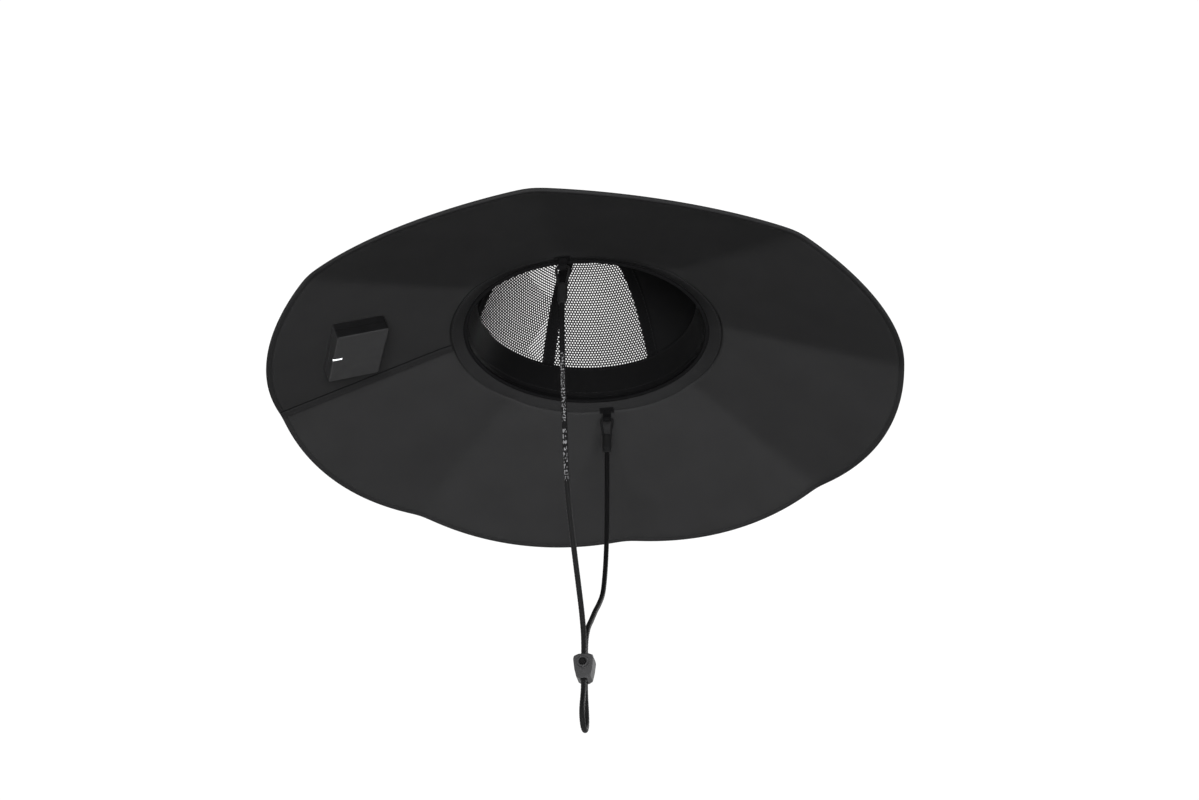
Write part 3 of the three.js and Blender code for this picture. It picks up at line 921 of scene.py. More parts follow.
tape_foot = dome_radius(sweatband_foot + sweatband_height + clearance)
tape_end = (tape_width / 2 + clearance) / math.tan(seam_turn / 2)
tape_rows = np.linspace(-tape_width / 2, tape_width / 2, 9)
down_the_dome = radius_at(np.linspace(np.interp(-tape_foot, -dome_radii, dome_gone), dome_gone[-1], 70))
side_columns = np.append(down_the_dome[down_the_dome > tape_end + shortest_step], tape_end)
top_columns = np.concatenate([down_the_dome[:-1], -down_the_dome[::-1]])
tapes = {
    "top": (back_angle - seam_turn, top_columns), "back": (back_angle, side_columns),
    "right": (back_angle + seam_turn, side_columns), "left": (back_angle - 2 * seam_turn, side_columns),
}
for side, (seam, columns) in tapes.items():
    tape = sweep(f"seam_tape_{side}", columns, sheet_section(tape_rows, tape_wall),
                 tape_place(seam), straight_cloth)
    dress(tape, tape_cloth, "trim_cloth", f"crown_tape_{side}")
print("tapes made:", len(tapes))

# %% [markdown]
# ## The sweatband
#
# The sweatband is a soft satin knit that stands inside the crown's foot. Its lower edge is turned
# in to a full roll that hangs a little below the opening, which is the dark rim seen from below.
# A very slow wave along the band keeps it from looking turned on a lathe.
#
# The roll itself is bound with matt tape. It is part of the same mesh, and its faces are given a
# second material by their height.

# %% The sweatband
sweatband_lean = 2 * mm
sweatband_top = sweatband_foot + sweatband_height
sweatband_inner_top = dome_radius(sweatband_top) - sweatband_lean - sweatband_wall
sweatband_wave = 0.25 * mm
roll_bottom, roll_top = -2.2 * mm, 4 * mm
roll_inward, roll_fullness = 0.3 * mm, 1.5
roll_inner_foot = -0.5 * mm
full_below, plain_above = -1 * mm, 1.5 * mm
wave_counts, wave_start = (9, 4), 1.3
bound_below = 1 * mm
fine_rows_top = 5 * mm


def ease(value, start, end):
    share = np.clip((value - start) / (end - start), 0, 1)
    return share * share * (3 - 2 * share)


def sweatband_place(angle, height, thick):
    share = (height - sweatband_foot) / sweatband_height
    radius = (sweatband_outer - sweatband_wall) * (1 - share) + sweatband_inner_top * share
    radius = np.where(share < 0, sweatband_outer - sweatband_wall, radius)
    rolled = 1 - ease(height, roll_inner_foot, roll_top)
    full = 1 + roll_fullness * (1 - ease(height, full_below, plain_above))
    ripple = np.sin(wave_counts[0] * angle + wave_start) * np.sin(wave_counts[1] * angle)
    wave = sweatband_wave * np.maximum(share, 0) * ripple
    middle = radius + sweatband_wall / 2 - roll_inward * rolled + wave
    return polar(middle + thick * full, angle, height)


sweatband_rows = np.concatenate([np.linspace(roll_bottom, fine_rows_top, 10),
                                 np.linspace(fine_rows_top, sweatband_top, 9)[1:]])
sweatband = sweep("sweatband_cloth", ring_columns, sheet_section(sweatband_rows, sweatband_wall),
                  sweatband_place, ring_cloth(opening_radius), True)
dress(sweatband, knit_cloth, "sweatband_cloth", "sweatband")
sweatband.data.materials.append(tape_cloth)
for polygon in sweatband.data.polygons:
    if polygon.center.z < bound_below:
        polygon.material_index = 1

# %% [markdown]
# ## Moulded plastic
#
# Injection-moulded parts are finely matt, because the steel mould is etched. Very fine noise as
# bump gives that skin, and slow noise in the roughness keeps a large face from looking printed.
# Sharp edges are painted a little lighter, partly as handled polish and partly as a painted
# highlight, which the pointiness of the mesh picks out.

# %% Plastic finishes
mould_grain = 0.02 * mm


def moulded(name, colour, roughness, specular=0.4):
    finish = Finish(name, colour, roughness)
    where = finish.node("TexCoord").outputs["Object"]
    skin = finish.noise(5200, where, 2)
    handled = finish.noise(90, where, 3)
    # Pointiness lightens convex edges: partly handled polish, partly a painted highlight.
    edge = finish.between(finish.node("NewGeometry").outputs["Pointiness"], 1.0, 1.45, 0.5, 0.62)
    shade = finish.math("MULTIPLY", edge, finish.between(handled, 0.93, 1.07, 0.3, 0.7))
    bump = finish.node("Bump", Strength=0.35, Distance=mould_grain, Height=skin)
    finish.set(Base_Color=finish.tint(shade, colour),
               Roughness=finish.between(handled, roughness - 0.06, roughness + 0.06, 0.3, 0.7),
               Normal=bump, Specular_IOR_Level=specular)
    return finish.material


# The case is one plastic: this darker copy is painted shade on its sides, the next one painted light.
shade_copy_plastic = moulded("shade_copy_plastic", (0.004, 0.004, 0.0042), 0.4, specular=0.25)
lit_copy_plastic = moulded("box_painted_light_copy", (0.018, 0.018, 0.0185), 0.55, specular=0.15)
end_plastic = moulded("cord_end_plastic", (0.0075, 0.0075, 0.0078), 0.4, specular=0.2)
lock_plastic = moulded("lock_plastic", (0.024, 0.024, 0.025), 0.32, specular=0.45)
button_plastic = moulded("button_plastic", (0.0025, 0.0025, 0.0027), 0.4, specular=0.2)
print("finishes so far:", len(bpy.data.materials))

# %% [markdown]
# ## Refining a moulded solid
#
# The cord ends and the lock are hard plastic with soft edges, while their solids are cut from flat
# facets. A copy of the solid is rebuilt with a voxel remesh, which turns any closed shape into an
# even skin of small quads, and then a smoothing modifier rounds every edge as a mould would.

# %% Remesh and smooth a copy
def applied(piece):
    """Applies a piece's modifiers to its mesh."""
    evaluated = piece.evaluated_get(bpy.context.evaluated_depsgraph_get())
    mesh = bpy.data.meshes.new_from_object(evaluated)
    piece.modifiers.clear()
    piece.data = mesh
    return piece


def refined(name, node, voxel, rounds):
    piece = linked(name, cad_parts[node].data.copy())
    remesh = piece.modifiers.new("remesh", "REMESH")
    remesh.mode = "VOXEL"
    remesh.voxel_size = voxel
    rounding = piece.modifiers.new("rounding", "SMOOTH")
    rounding.factor = 0.5
    rounding.iterations = rounds
    applied(piece)
    piece.data.shade_smooth()
    return piece


# %% [markdown]
# A smaller voxel keeps more of a shape and costs more faces. The cord ends are mostly round bars
# and get the larger voxel. The lock has finer edges and gets the smaller one.

# %% Cord ends and lock body
end_voxel, end_rounds = 0.3 * mm, 6
lock_voxel, lock_rounds = 0.25 * mm, 5
for side in ("right", "left"):
    end_piece = refined(f"moulded_end_{side}", f"cord_end_{side}", end_voxel, end_rounds)
    dress(end_piece, end_plastic, "moulded_plastic", f"cord_end_{side}")
lock = refined("lock_shell", "lock_body", lock_voxel, lock_rounds)
dress(lock, lock_plastic, "lock_plastic", "lock_body")

# %% [markdown]
# ## The lock's button
#
# The button is a small round cap with a domed face and a ring pressed into it. A round part is a
# profile turned about an axis. The profile lists radius and height pairs, and each one becomes a
# ring of corners. Its rounded outer end is easier to list as distances in from the side and down
# from the top, in millimetres.

# %% Turn a profile
def turned_piece(name, profile, sides, to_place):
    angle = np.linspace(0, math.tau, sides, endpoint=False)
    points = []
    for radius, height in profile:
        ring = [Vector((radius * math.cos(a), radius * math.sin(a), height)) for a in angle]
        points += [to_place @ point for point in ring]
    corner = np.arange(len(points)).reshape(-1, sides)
    faces = ring_faces(corner[:-1], corner[1:]) + [corner[0].tolist(), corner[-1].tolist()]
    return new_piece(name, points, faces)


button_low, button_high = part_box("lock_button")
button_radius = (button_high.z - button_low.z) / 2
button_length = 1.9 * mm
button_middle = (button_low + button_high) / 2
button_axis, button_dome, button_edge = 0.1 * mm, 0.5 * mm, 0.2 * mm
outer_end = [(0, 0.5), (0.15, 0.2), (0.45, 0.08), (0.6, 0.35), (0.85, 0.35), (0.95, 0.06)]
button_profile = [
    (button_axis, 0), (button_radius - button_edge, 0), (button_radius, button_edge),
    *[(button_radius - inset * mm, button_length - drop * mm) for inset, drop in outer_end],
    (button_dome, button_length), (button_axis, button_length),
]
to_button = (Matrix.Translation(button_middle) @ Matrix.Rotation(strap_turn, 4, "Z")
             @ Matrix.Rotation(-math.pi / 2, 4, "Y") @ Matrix.Translation((0, 0, -button_length / 2)))
button = turned_piece("lock_button_cap", button_profile, 40, to_button)
dress(button, button_plastic, "button_plastic", "lock_button", body="lock_button")

# %% [markdown]

# %% [markdown]
# ## Tape tabs
#
# Each moulded end hangs in a loop of narrow tape that is sewn to the opening band. The tape comes
# down, turns round the plastic bar and goes back up, so its line is a short straight, nearly a
# whole circle and another straight. A flat black patch under the band is the tape's sewn end, and
# it is also painted shade: it stands for the dark shade round the tab's root.

# %% The tabs
tab_width = 6.4 * mm
tab_wall = 0.9 * mm
tab_drop = 8.6 * mm
wire_radius = 1.1 * mm
tab_bend = (wire_radius + clearance) / math.cos(math.pi / 12) + tab_wall / 2
tab_root, tab_stagger, tab_overlap = clearance + 0.2 * mm, 0.35 * mm, 0.1 * mm
tab_sheet_wall = 0.96 * tab_wall
tab_cloth_step = 0.4 * mm
patch_width, patch_length, patch_wall = 11.6 * mm, 5 * mm, 0.9 * mm


def tab_line(steps=28):
    half = tab_wall / 2
    away = math.asin(half / tab_bend)
    turn = np.linspace(math.pi / 2 - away, -1.5 * math.pi + away, steps)
    arc = np.stack([tab_bend * np.cos(turn), -tab_drop + tab_bend * np.sin(turn)], -1)
    return np.vstack([[half, -tab_root - tab_stagger], arc, [-half, -tab_root + tab_overlap]])


def make_tab(side, name):
    line = tab_line()
    ahead = np.gradient(line, axis=0)
    ahead /= np.linalg.norm(ahead, axis=1)[:, None]
    base = float(underside(np.array(anchor_radius), np.array(0.0)))
    def place(step, off, thick):
        index = step.astype(int)
        across = line[index, 0] + thick * ahead[index, 1]
        up = line[index, 1] - thick * ahead[index, 0]
        return turned(np.stack([side * (anchor_radius + across), off, base + up], -1))
    rows = np.linspace(-tab_width / 2, tab_width / 2, 7)
    tab = sweep(f"tape_tab_{name}", np.arange(len(line)), sheet_section(rows, tab_sheet_wall),
                place, lambda step, off: crosswise_cloth(step * tab_cloth_step, off))
    dress(tab, tape_cloth, "trim_cloth", f"anchor_tab_{name}")


def make_sewn_end_and_shade(side, name):
    """The tape's flat sewn end on the band's underside, partly painted shade round the tab's root."""
    def place(off, radius, thick):
        angle = (0 if side > 0 else math.pi) + strap_turn + off / anchor_radius
        return polar(radius, angle, underside(radius, angle) - patch_wall / 2 + thick)
    rows = np.linspace(anchor_radius - patch_length / 2, anchor_radius + patch_length / 2, 7)
    patch = sweep(f"sewn_end_shade_{name}", np.linspace(-patch_width / 2, patch_width / 2, 13),
                  sheet_section(rows, patch_wall), place, crosswise_cloth)
    dress(patch, tape_cloth, "trim_cloth")


for side, name in ((-1, "right"), (1, "left")):
    make_tab(side, name)
    make_sewn_end_and_shade(side, name)

# %% [markdown]
# ## Solar panels
#
# On the upper side every facet carries one thin flexible panel. Its cells are cut to the facet:
# four rows, with more cells in the longer rows and slanting ends beside the folds. A cell is a
# dark blue-black plate, and fine metal lines collect its current. Plates and lines are real
# geometry that stands about a tenth of a millimetre out of the sheet.

# %% A frame on each facet
panel_wall = 1.4 * mm
panel_fold_margin = 9 * mm
panel_inner = band_radius + 28 * mm
panel_outer = brim_radius - 9 * mm
facet_apex = (opening_radius - facet_inset) * math.tan(brim_slope)


def facet_matrix(facet):
    """X runs down the slope from the facets' apex, and Z stands off the facet."""
    return (Matrix.Rotation((facet + 0.5) * facet_turn, 4, "Z")
            @ Matrix.Translation((0, 0, facet_apex)) @ Matrix.Rotation(brim_slope, 4, "Y"))


def on_slope(radius, angle):
    return (radius * math.cos(angle) / math.cos(brim_slope), radius * math.sin(angle))


def panel_outline(inset, spans=24):
    """The panel's outline, moved inwards by inset."""
    margin = panel_fold_margin + inset
    line = []
    for radius, way in ((panel_outer - inset, 1), (panel_inner + inset, -1)):
        reach = facet_turn / 2 - math.asin(margin / radius)
        line += [on_slope(radius, way * a) for a in np.linspace(-reach, reach, spans)]
    return line


print("corners of a panel's outline:", len(panel_outline(0)))

# %% [markdown]
# Sheet, cells and metal lines are all flat plates, so one helper makes them: an outline at three
# heights, joined by walls and closed by a face at each end.

# %% The panel's sheet and cells
shrink_reach = 20 * mm


def plate(points, faces, outline, low, high, shrink=0.0):
    """Adds a flat plate to the points and faces. Its upper edge is broken where shrink is given."""
    corner = len(points) + np.arange(3 * len(outline)).reshape(3, -1)
    middle = np.mean(outline, axis=0)
    for height, share in ((low, 1.0), (high - shrink, 1.0), (high, 1.0 - shrink / shrink_reach)):
        points += [(*(middle + (np.array(p) - middle) * share), height) for p in outline]
    faces += ring_faces(corner[:-1], corner[1:]) + [corner[0, ::-1].tolist(), corner[-1].tolist()]


def slant_limit(x, margin):
    """How far a point at x down the slope may lie to the side, short of the fold."""
    level = x * math.cos(brim_slope)
    return (level * math.sin(facet_turn / 2) - margin) / math.cos(facet_turn / 2)


cell_rows = 4
cell_gap = 1.6 * mm
cell_width = 31 * mm
cell_margin = 5 * mm
cell_lift = 0.12 * mm
corner_turn = facet_turn / 2 - 0.06


def cell_outlines():
    margin = panel_fold_margin + cell_margin
    first = (panel_inner + cell_margin) / math.cos(brim_slope)
    last_level = (panel_outer - cell_margin) * math.cos(corner_turn)
    edges = np.linspace(first, last_level / math.cos(brim_slope), cell_rows + 1)
    outlines = []
    for top, bottom in zip(edges, edges[1:]):
        bottom -= cell_gap
        ends = [slant_limit(top, margin), slant_limit(bottom, margin)]
        count = max(2, round(2 * ends[0] / cell_width))
        cuts = np.linspace(-1, 1, count + 1)
        for left, right in zip(cuts, cuts[1:]):
            inner = cell_gap / 2
            near = [left * ends[0] + inner, right * ends[0] - inner]
            far = [left * ends[1] + inner, right * ends[1] - inner]
            outlines.append([(top, near[0]), (bottom, far[0]), (bottom, far[1]), (top, near[1])])
    return outlines


# %% [markdown]
# The lines that collect a cell's current are printed in silver on the real panel. Here they are
# narrow plates from each cell's upper edge to its lower one, a hair higher than the cell.

# %% Fine metal lines
bus_width = 0.5 * mm
bus_spacing = 10 * mm
bus_lift = 0.05 * mm


def bus_lines(outline):
    """Thin strips down a cell, from its upper edge to its lower one."""
    (top, left), (bottom, far_left), (_, far_right), (_, right) = outline
    count = max(2, round((right - left) / bus_spacing))
    strips = []
    for share in (np.arange(count) + 0.5) / count:
        start, end = left + (right - left) * share, far_left + (far_right - far_left) * share
        half = bus_width / 2
        strips.append([(top, start - half), (bottom, end - half), (bottom, end + half), (top, start + half)])
    return strips


def flat_piece(name, outlines, low, high, facet, shrink=0.0):
    points, faces = [], []
    for outline in outlines:
        plate(points, faces, outline, low, high, shrink)
    placed = [facet_matrix(facet) @ Vector(point) for point in points]
    return new_piece(name, placed, faces, np.array(points)[:, :2], sharp_angle=25)


# %% [markdown]
# The cells are glossy under their film, so their finish has a clear coat over a dark, slightly
# blue base. Hair-thin fingers of metal cross every cell: a wave in the colour is enough for them.

# %% Solar finishes
finger_step, finger_share = 1.4 * mm, 0.09


def cell_finish():
    colour = (0.006, 0.008, 0.018)
    finish = Finish("solar_cell", colour, 0.35)
    where, axes = cloth_places(finish)
    wave = finish.math("FRACT", finish.math("DIVIDE", axes.outputs[0], finger_step))
    fingers = finish.math("LESS_THAN", wave, finger_share)
    grains = finish.noise(60, where, 4)
    mix = finish.node("Mix", {"data_type": "RGBA"}, Factor=finish.math("MULTIPLY", fingers, 0.35))
    finish.feed(mix, "i6", finish.tint(finish.between(grains, 0.75, 1.3, 0.3, 0.7), colour))
    mix.inputs[7].default_value = (0.12, 0.12, 0.13, 1)
    finish.set(Base_Color=mix.outputs[2], Coat_Weight=0.3, Coat_Roughness=0.1, Specular_IOR_Level=0.2)
    return finish.material


def film_finish():
    colour = (0.010, 0.010, 0.011)
    finish = Finish("panel_film", colour, 0.42)
    where, _ = cloth_places(finish)
    dimples = finish.node("TexVoronoi", Vector=where, Scale=900)
    bump = finish.node("Bump", Strength=0.25, Distance=0.03 * mm, Height=dimples.outputs[0])
    shade = finish.between(finish.noise(30, where, 3), 0.85, 1.15, 0.3, 0.7)
    finish.set(Base_Color=finish.tint(shade, colour), Normal=bump, Coat_Weight=0.08, Coat_Roughness=0.25,
               Specular_IOR_Level=0.2)
    return finish.material


solar_cell, panel_film = cell_finish(), film_finish()
bus_metal = moulded("cell_metal", (0.38, 0.38, 0.39), 0.35)

# %% Lay the eight panels
panel_low = brim_wall + clearance
sheet_top = panel_low + panel_wall - cell_lift - bus_lift
cell_top = panel_low + panel_wall - bus_lift
sheet_edge = 0.4 * mm
cells = cell_outlines()
strips = [strip for cell in cells for strip in bus_lines(cell)]
for facet in range(facet_count):
    sheet = flat_piece(f"solar_sheet_{facet + 1}", [panel_outline(0)], panel_low, sheet_top, facet,
                       sheet_edge)
    dress(sheet, panel_film, "solar_cells", f"solar_panel_{facet + 1}")
    plates = flat_piece(f"solar_cells_{facet + 1}", cells, cell_top - 2 * cell_lift, cell_top, facet)
    dress(plates, solar_cell, "solar_cells")
    lines = flat_piece(f"cell_lines_{facet + 1}", strips, cell_top - bus_lift, cell_top + bus_lift, facet)
    dress(lines, bus_metal, "solar_cells")
print("cells on one panel:", len(cells), "and lines:", len(strips))

# %% [markdown]
# ## The control box
#
# The box under the brim is a moulded case: a rounded block with softened edges, a parting line
# round its sides and a slot for the light. It is built like a stack of slices, from the brim to
# its outer face. Each slice is an outline with round corners, drawn in by an inset of its own. The
# last insets follow a quarter circle, which rounds the edge, and two slices that are drawn in
# between wider ones make the parting line's groove.

# %% The case
box_facet = 2
box_length, box_width, box_depth = 39 * mm, 58.5 * mm, 12.4 * mm
box_corner = 2 * mm
box_edge = 0.9 * mm
least_corner = 0.6 * mm
seat_edge = 0.3 * mm
groove_height, groove_depth = 0.5 * mm, 0.35 * mm
parting_share = 0.42
light_length, light_width, light_depth = 7 * mm, 1.6 * mm, 1.2 * mm
box_rim_margin, box_shift = 42.5 * mm, -1.4 * mm
box_middle = ((brim_radius - box_rim_margin) / math.cos(brim_slope) - box_length / 2, box_shift)


def rounded_outline(length, width, corner, steps=7):
    line = []
    for turn, (x, y) in enumerate(((1, 1), (-1, 1), (-1, -1), (1, -1))):
        middle = np.array((x * (length / 2 - corner), y * (width / 2 - corner)))
        for angle in np.linspace(turn * math.pi / 2, (turn + 1) * math.pi / 2, steps):
            line.append(middle + corner * np.array((math.cos(angle), math.sin(angle))))
    return np.array(line)


def box_levels():
    """Height and inset pairs from the box's seat at the brim to its outer face."""
    turn = np.radians(np.linspace(0, 90, 6))
    edge = [(-box_depth + box_edge * (1 - math.sin(a)), box_edge * (1 - math.cos(a))) for a in turn]
    parting = -box_depth * parting_share
    groove = [(parting, 0), (parting - groove_height * 0.3, groove_depth),
              (parting - groove_height * 0.7, groove_depth), (parting - groove_height, 0)]
    return [(0, seat_edge), (-seat_edge, 0), *groove, *edge]


def make_case():
    points = []
    levels = box_levels()
    for height, inset in levels:
        corner_radius = max(box_corner - inset, least_corner)
        line = rounded_outline(box_length - 2 * inset, box_width - 2 * inset, corner_radius)
        points += [(x + box_middle[0], y + box_middle[1], height - clearance) for x, y in line]
    corner = np.arange(len(points)).reshape(len(levels), -1)
    faces = ring_faces(corner[:-1], corner[1:]) + [corner[0].tolist(), corner[-1].tolist()]
    placed = [facet_matrix(box_facet) @ Vector(point) for point in points]
    return new_piece("control_case", placed, faces)


# %% [markdown]
# The slot for the light is cut with a Boolean modifier: a slightly larger block is taken out of
# the case. The modifier is applied at once, and the cutter is thrown away. The case is one plastic,
# but the outer face and the side towards the rim get a lighter, duller copy of it, so their faces
# get a second material: the lighter colour is painted light, and the darker sides painted shade.

# %% Cut the slot and add the light
def light_block(name, grow, edge):
    """A bar along the box's outer edge, larger on every side by grow."""
    sizes = (light_length + grow, light_width + 2 * grow, light_depth + grow)
    end = box_middle[0] + box_length / 2
    middle = (end - light_length / 2 + grow / 2, box_middle[1], -clearance - box_depth + light_depth / 2)
    shape = bmesh.new()
    bmesh.ops.create_cube(shape, size=1)
    bmesh.ops.scale(shape, vec=sizes, verts=shape.verts)
    if edge:
        bmesh.ops.bevel(shape, geom=shape.edges[:], offset=edge, segments=3, affect="EDGES", profile=0.5)
    bmesh.ops.translate(shape, vec=middle, verts=shape.verts)
    shape.transform(facet_matrix(box_facet))
    mesh = bpy.data.meshes.new(name)
    shape.to_mesh(mesh)
    shape.free()
    return linked(name, mesh)


case = make_case()
cutter = light_block("slot_cutter", clearance, 0)
cut = case.modifiers.new("slot", "BOOLEAN")
cut.operation, cut.solver, cut.object = "DIFFERENCE", "EXACT", cutter
applied(case)
bpy.data.objects.remove(cutter)
smooth(case, 30)
dress(case, shade_copy_plastic, "moulded_plastic", "control_box")
# The outer face and the side towards the rim take the lighter copy, as painted light.
case.data.materials.append(lit_copy_plastic)
to_facet = facet_matrix(box_facet).inverted()
face_height = -clearance - box_depth + 0.6 * box_edge
side_reach = box_middle[0] + box_length / 2 - seat_edge
for polygon in case.data.polygons:
    middle = to_facet @ polygon.center
    if middle.z < face_height or middle.x > side_reach:
        polygon.material_index = 1

light_edge = 0.25 * mm
light_bar = light_block("light_bar", 0, light_edge)
smooth(light_bar)
light_colour = (0.85, 0.87, 0.9)
glow = Finish("light_window", light_colour, 0.35)
milk = glow.noise(700, glow.node("TexCoord").outputs["Object"])
glow.set(Base_Color=glow.tint(glow.between(milk, 0.92, 1.04, 0.3, 0.7), light_colour),
         Emission_Color=(1, 1, 1, 1), Emission_Strength=0.9)
dress(light_bar, glow.material, "light_plastic", "status_light")

# %% [markdown]
# ## Stitches
#
# Stitches tell the eye how large a thing is. Each one is a little spindle of thread whose ends dip
# into the cloth: a tip, two rings of four corners and another tip. All rows on one piece are one
# mesh. They follow the same surface functions that made the cloth, so they always lie on it.

# %% A row of stitches
stitch_length = 2.7 * mm
stitch_step = 3.4 * mm
stitch_half = 0.22 * mm
tip_dip, ring_lift = -0.6, 0.35


def stitch_row(points, normals):
    """Spindles along a line: corners and faces of one mesh."""
    gone = np.concatenate([[0], np.cumsum(np.linalg.norm(np.diff(points, axis=0), axis=1))])
    count = max(1, int(gone[-1] / stitch_step))
    starts = (np.arange(count) + 0.5) * gone[-1] / count
    def at(places, values):
        return np.stack([np.interp(places, gone, values[:, k]) for k in range(3)], -1)
    tip, ring = [(0, 0)], [(1, 0), (0, 1), (-1, 0), (0, -1)]
    levels = ((-0.5, tip, tip_dip), (-0.3, ring, ring_lift), (0.3, ring, ring_lift), (0.5, tip, tip_dip))
    rings = []
    for along, turns, lift in levels:
        middle = at(starts + along * stitch_length, points)
        up = at(starts + along * stitch_length, normals)
        ahead = at(starts + 0.6 * stitch_length, points) - at(starts - 0.6 * stitch_length, points)
        side = np.cross(ahead, up)
        side /= np.linalg.norm(side, axis=1)[:, None]
        up = up / np.linalg.norm(up, axis=1)[:, None]
        middle = middle + up * lift * stitch_half
        rings += [middle + stitch_half * (a * side + b * up) for a, b in turns]
    corners = np.stack(rings, 1)
    pattern = ([[0, 1 + k, 1 + (k + 1) % 4] for k in range(4)]
               + [[1 + k, 5 + k, 5 + (k + 1) % 4, 1 + (k + 1) % 4] for k in range(4)]
               + [[5 + k, 9, 5 + (k + 1) % 4] for k in range(4)])
    faces = [[10 * stitch + k for k in face] for stitch in range(count) for face in pattern]
    return corners.reshape(-1, 3), faces


def sew(name, rows, slot="trim_cloth"):
    points, faces = [], []
    for line, normals in rows:
        corners, quads = stitch_row(line, normals)
        base = sum(len(p) for p in points)
        points.append(corners)
        faces += [[base + k for k in quad] for quad in quads]
    corners = np.vstack(points)
    piece = new_piece(name, corners, faces, corners, sharp_angle=180)
    dress(piece, thread_black, slot)
    print(name, "has", len(corners) // 10, "stitches")


# %% [markdown]
# A row needs a line on the cloth and the direction that points off it. Both come from the place
# function of the piece: the line at one thickness, and the direction from a second line just
# beyond it.

# %% Rows on each surface
def surface_row(place, first, second, thick):
    first, second = np.broadcast_arrays(np.asarray(first, float), np.asarray(second, float))
    line = place(first, second, np.full(first.shape, thick))
    beyond = place(first, second, np.full(first.shape, thick * 1.5))
    return line, beyond - line


whole_turn = np.radians(np.linspace(0, 360, 721))
sew("band_stitches", [surface_row(band_place, whole_turn, radius, side * band_wall / 2)
                      for radius in band_stitches for side in (-1, 1)])
edge_margin = 2.2 * mm
rim_row = brim_edge - edge_margin
sew("rim_stitches", [surface_row(brim_place, whole_turn, rim_row, side * brim_wall / 2)
                     for side in (-1, 1)])
lap_margin = 1.4 * mm
lap_row_start, lap_row_end = band_radius + 2 * mm, brim_edge - 1 * mm
lap_line = np.linspace(lap_row_start, lap_row_end, 80)
sew("seam_stitches", [surface_row(lap_place, lap_line, off, -lap_wall / 2)
                      for off in (lap_margin, lap_width - lap_margin)])

# %% [markdown]
# On the crown, one row runs on each side of every seam. The front panel has no seam in its middle,
# so none is sewn there. Each tape is sewn down near both of its edges, and the sweatband has one
# row near its foot and one near its top.

# %% Rows on the crown and its tapes
crown_row_start, crown_row_end = 4 * mm, tip_gone - 6 * mm
crown_line = np.linspace(crown_row_start, crown_row_end, 120)
seam_margin = 1.6 * mm
sewn_seams = (0, 2, 3, 4, 5)


def beside_seam(seam):
    def place(gone, off, thick):
        radius = radius_at(gone)
        return crown_point(radius, seam + off / radius, crown_wall / 2 + thick)
    return place


sew("crown_stitches", [surface_row(beside_seam(front_start + number * seam_turn), crown_line,
                                   side * seam_margin, crown_wall / 2)
                       for number in sewn_seams for side in (-1, 1)])
tape_margin = 1.3 * mm
sewn_off = tape_width / 2 - tape_margin
sew("tape_stitches", [surface_row(tape_place(seam), columns, off, -tape_wall / 2)
                      for seam, columns in tapes.values() for off in (-sewn_off, sewn_off)])
sewn_heights = (sweatband_foot + 3.5 * mm, sweatband_top - 2 * mm)
sew("sweatband_stitches", [surface_row(sweatband_place, whole_turn, height, -sweatband_wall / 2)
                           for height in sewn_heights], "sweatband_cloth")

# %% [markdown]
# Each solar panel is sewn into its facet by one row all round, a little outside its edge.

# %% Rows round the solar panels
def panel_rows(facet):
    line = np.array(panel_outline(-edge_margin, 60))
    line = np.vstack([line, line[:1]])
    matrix = facet_matrix(facet)
    points = np.array([matrix @ Vector((x, y, brim_wall)) for x, y in line])
    off = np.array(matrix.to_3x3() @ Vector((0, 0, 1)))
    return points, np.tile(off, (len(points), 1))


sew("panel_stitches", [panel_rows(facet) for facet in range(facet_count)])

# %% [markdown]
# ## The studio
#
# The hat hangs in the air as if a head held it, over a pale floor far below. World and floor look
# pale to the camera and in reflections. The world hardly lights the hat, though, and the floor only
# passes on the lamps' light, which keeps black cloth black. A Light Path node tells the rays apart.

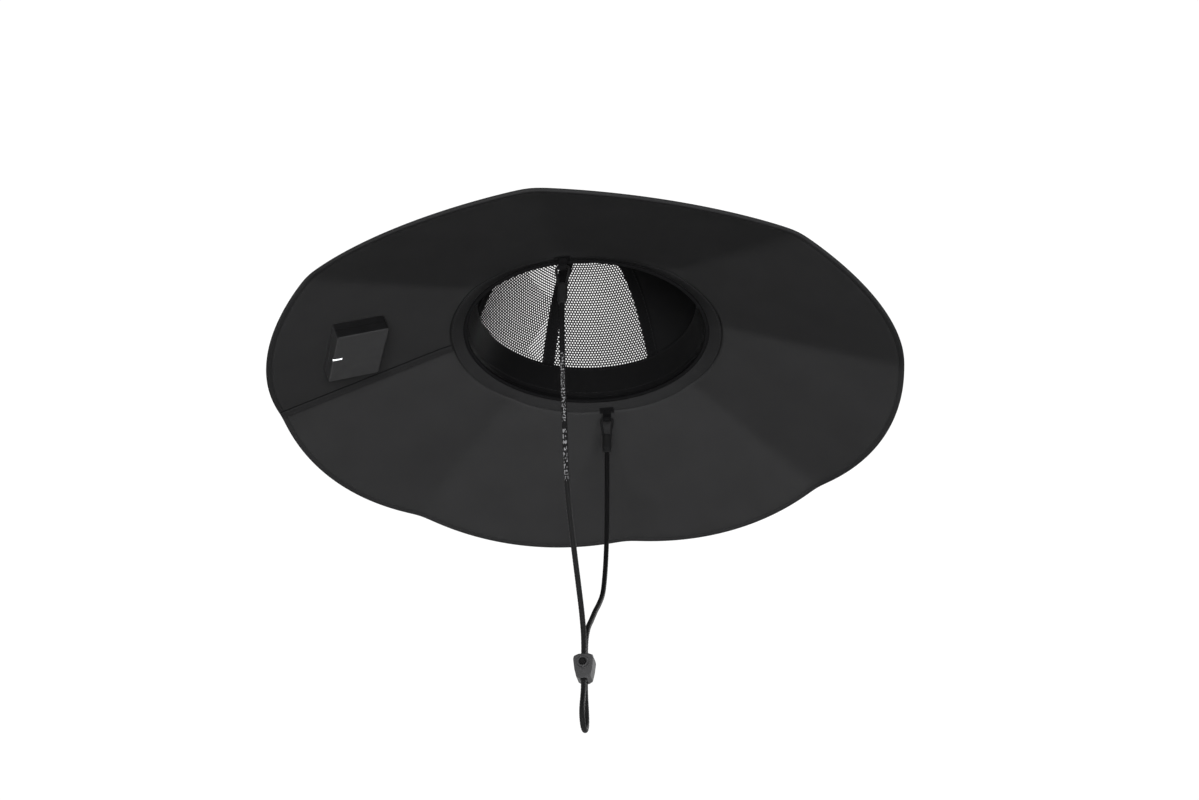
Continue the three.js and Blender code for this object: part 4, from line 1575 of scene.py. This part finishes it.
# %% Floor and world
floor_mesh = bpy.data.meshes.new("floor")
floor_reach, floor_height, floor_corners = 80, -1.75, 96
floor_turn = [math.tau * k / floor_corners for k in range(floor_corners)]
floor_points = [(floor_reach * math.cos(a), floor_reach * math.sin(a), floor_height) for a in floor_turn]
floor_mesh.from_pydata(floor_points, [], [range(floor_corners)])
floor = linked("floor", floor_mesh)
floor_finish = Finish("floor_paint", (0.7, 0.7, 0.7), 0.9)
floor_ray = floor_finish.node("LightPath")
floor_seen, floor_mirrored = 0.72, 0.5
mirrored_floor = floor_finish.between(floor_ray.outputs["Is Glossy Ray"], 0.0, floor_mirrored)
seen_floor = floor_finish.math("MULTIPLY_ADD", floor_ray.outputs["Is Camera Ray"], floor_seen,
                               mirrored_floor)
floor_finish.set(Emission_Color=(1, 1, 1, 1), Emission_Strength=seen_floor)
floor_mesh.materials.append(floor_finish.material)

sky_seen, sky_mirrored, sky_lighting = 1.05, 0.8, 0.05
world = bpy.data.worlds.new("studio")
scene.world = world
world.use_nodes = True
sky = world.node_tree
background = sky.nodes["Background"]
background.inputs["Color"].default_value = (1, 1, 1, 1)
ray = sky.nodes.new("ShaderNodeLightPath")
mirrored = sky.nodes.new("ShaderNodeMapRange")
mirrored.inputs["To Min"].default_value = sky_lighting
mirrored.inputs["To Max"].default_value = sky_mirrored
strength = sky.nodes.new("ShaderNodeMapRange")
strength.inputs["To Max"].default_value = sky_seen
sky.links.new(ray.outputs["Is Glossy Ray"], mirrored.inputs["Value"])
sky.links.new(mirrored.outputs[0], strength.inputs["To Min"])
sky.links.new(ray.outputs["Is Camera Ray"], strength.inputs["Value"])
sky.links.new(strength.outputs[0], background.inputs["Strength"])
print("floor", round(-floor_height, 2), "m below the head opening")

# %% [markdown]
# Three soft lamps do the work, all turned to the head opening. A large one stands low on the
# camera's side and lights the underside. A weak one lights the upper side from above. The third
# stands above and to the front: it shines in through the nets, and it is the only one that glossy
# surfaces mirror, which gives the satin sweatband its soft highlight.

# %% Lamps
def lamp(name, place, size, power, mirrored=False):
    data = bpy.data.lights.new(name, "AREA")
    data.shape, data.size, data.energy = "DISK", size, power
    light = linked(name, data)
    light.location = place
    light.rotation_euler = (-Vector(place)).to_track_quat("-Z", "Y").to_euler()
    light.visible_camera = False
    light.visible_glossy = mirrored


lamp("low_lamp", (-2.2, -0.45, -1.45), 1.5, 165)
lamp("top_lamp", (0.55, -0.8, 1.25), 1.1, 18)
lamp("side_lamp", (1.15, -1.65, 1.15), 1.2, 25, mirrored=True)
scene.view_settings.view_transform = "Standard"
print("lamps:", len(bpy.data.lights))
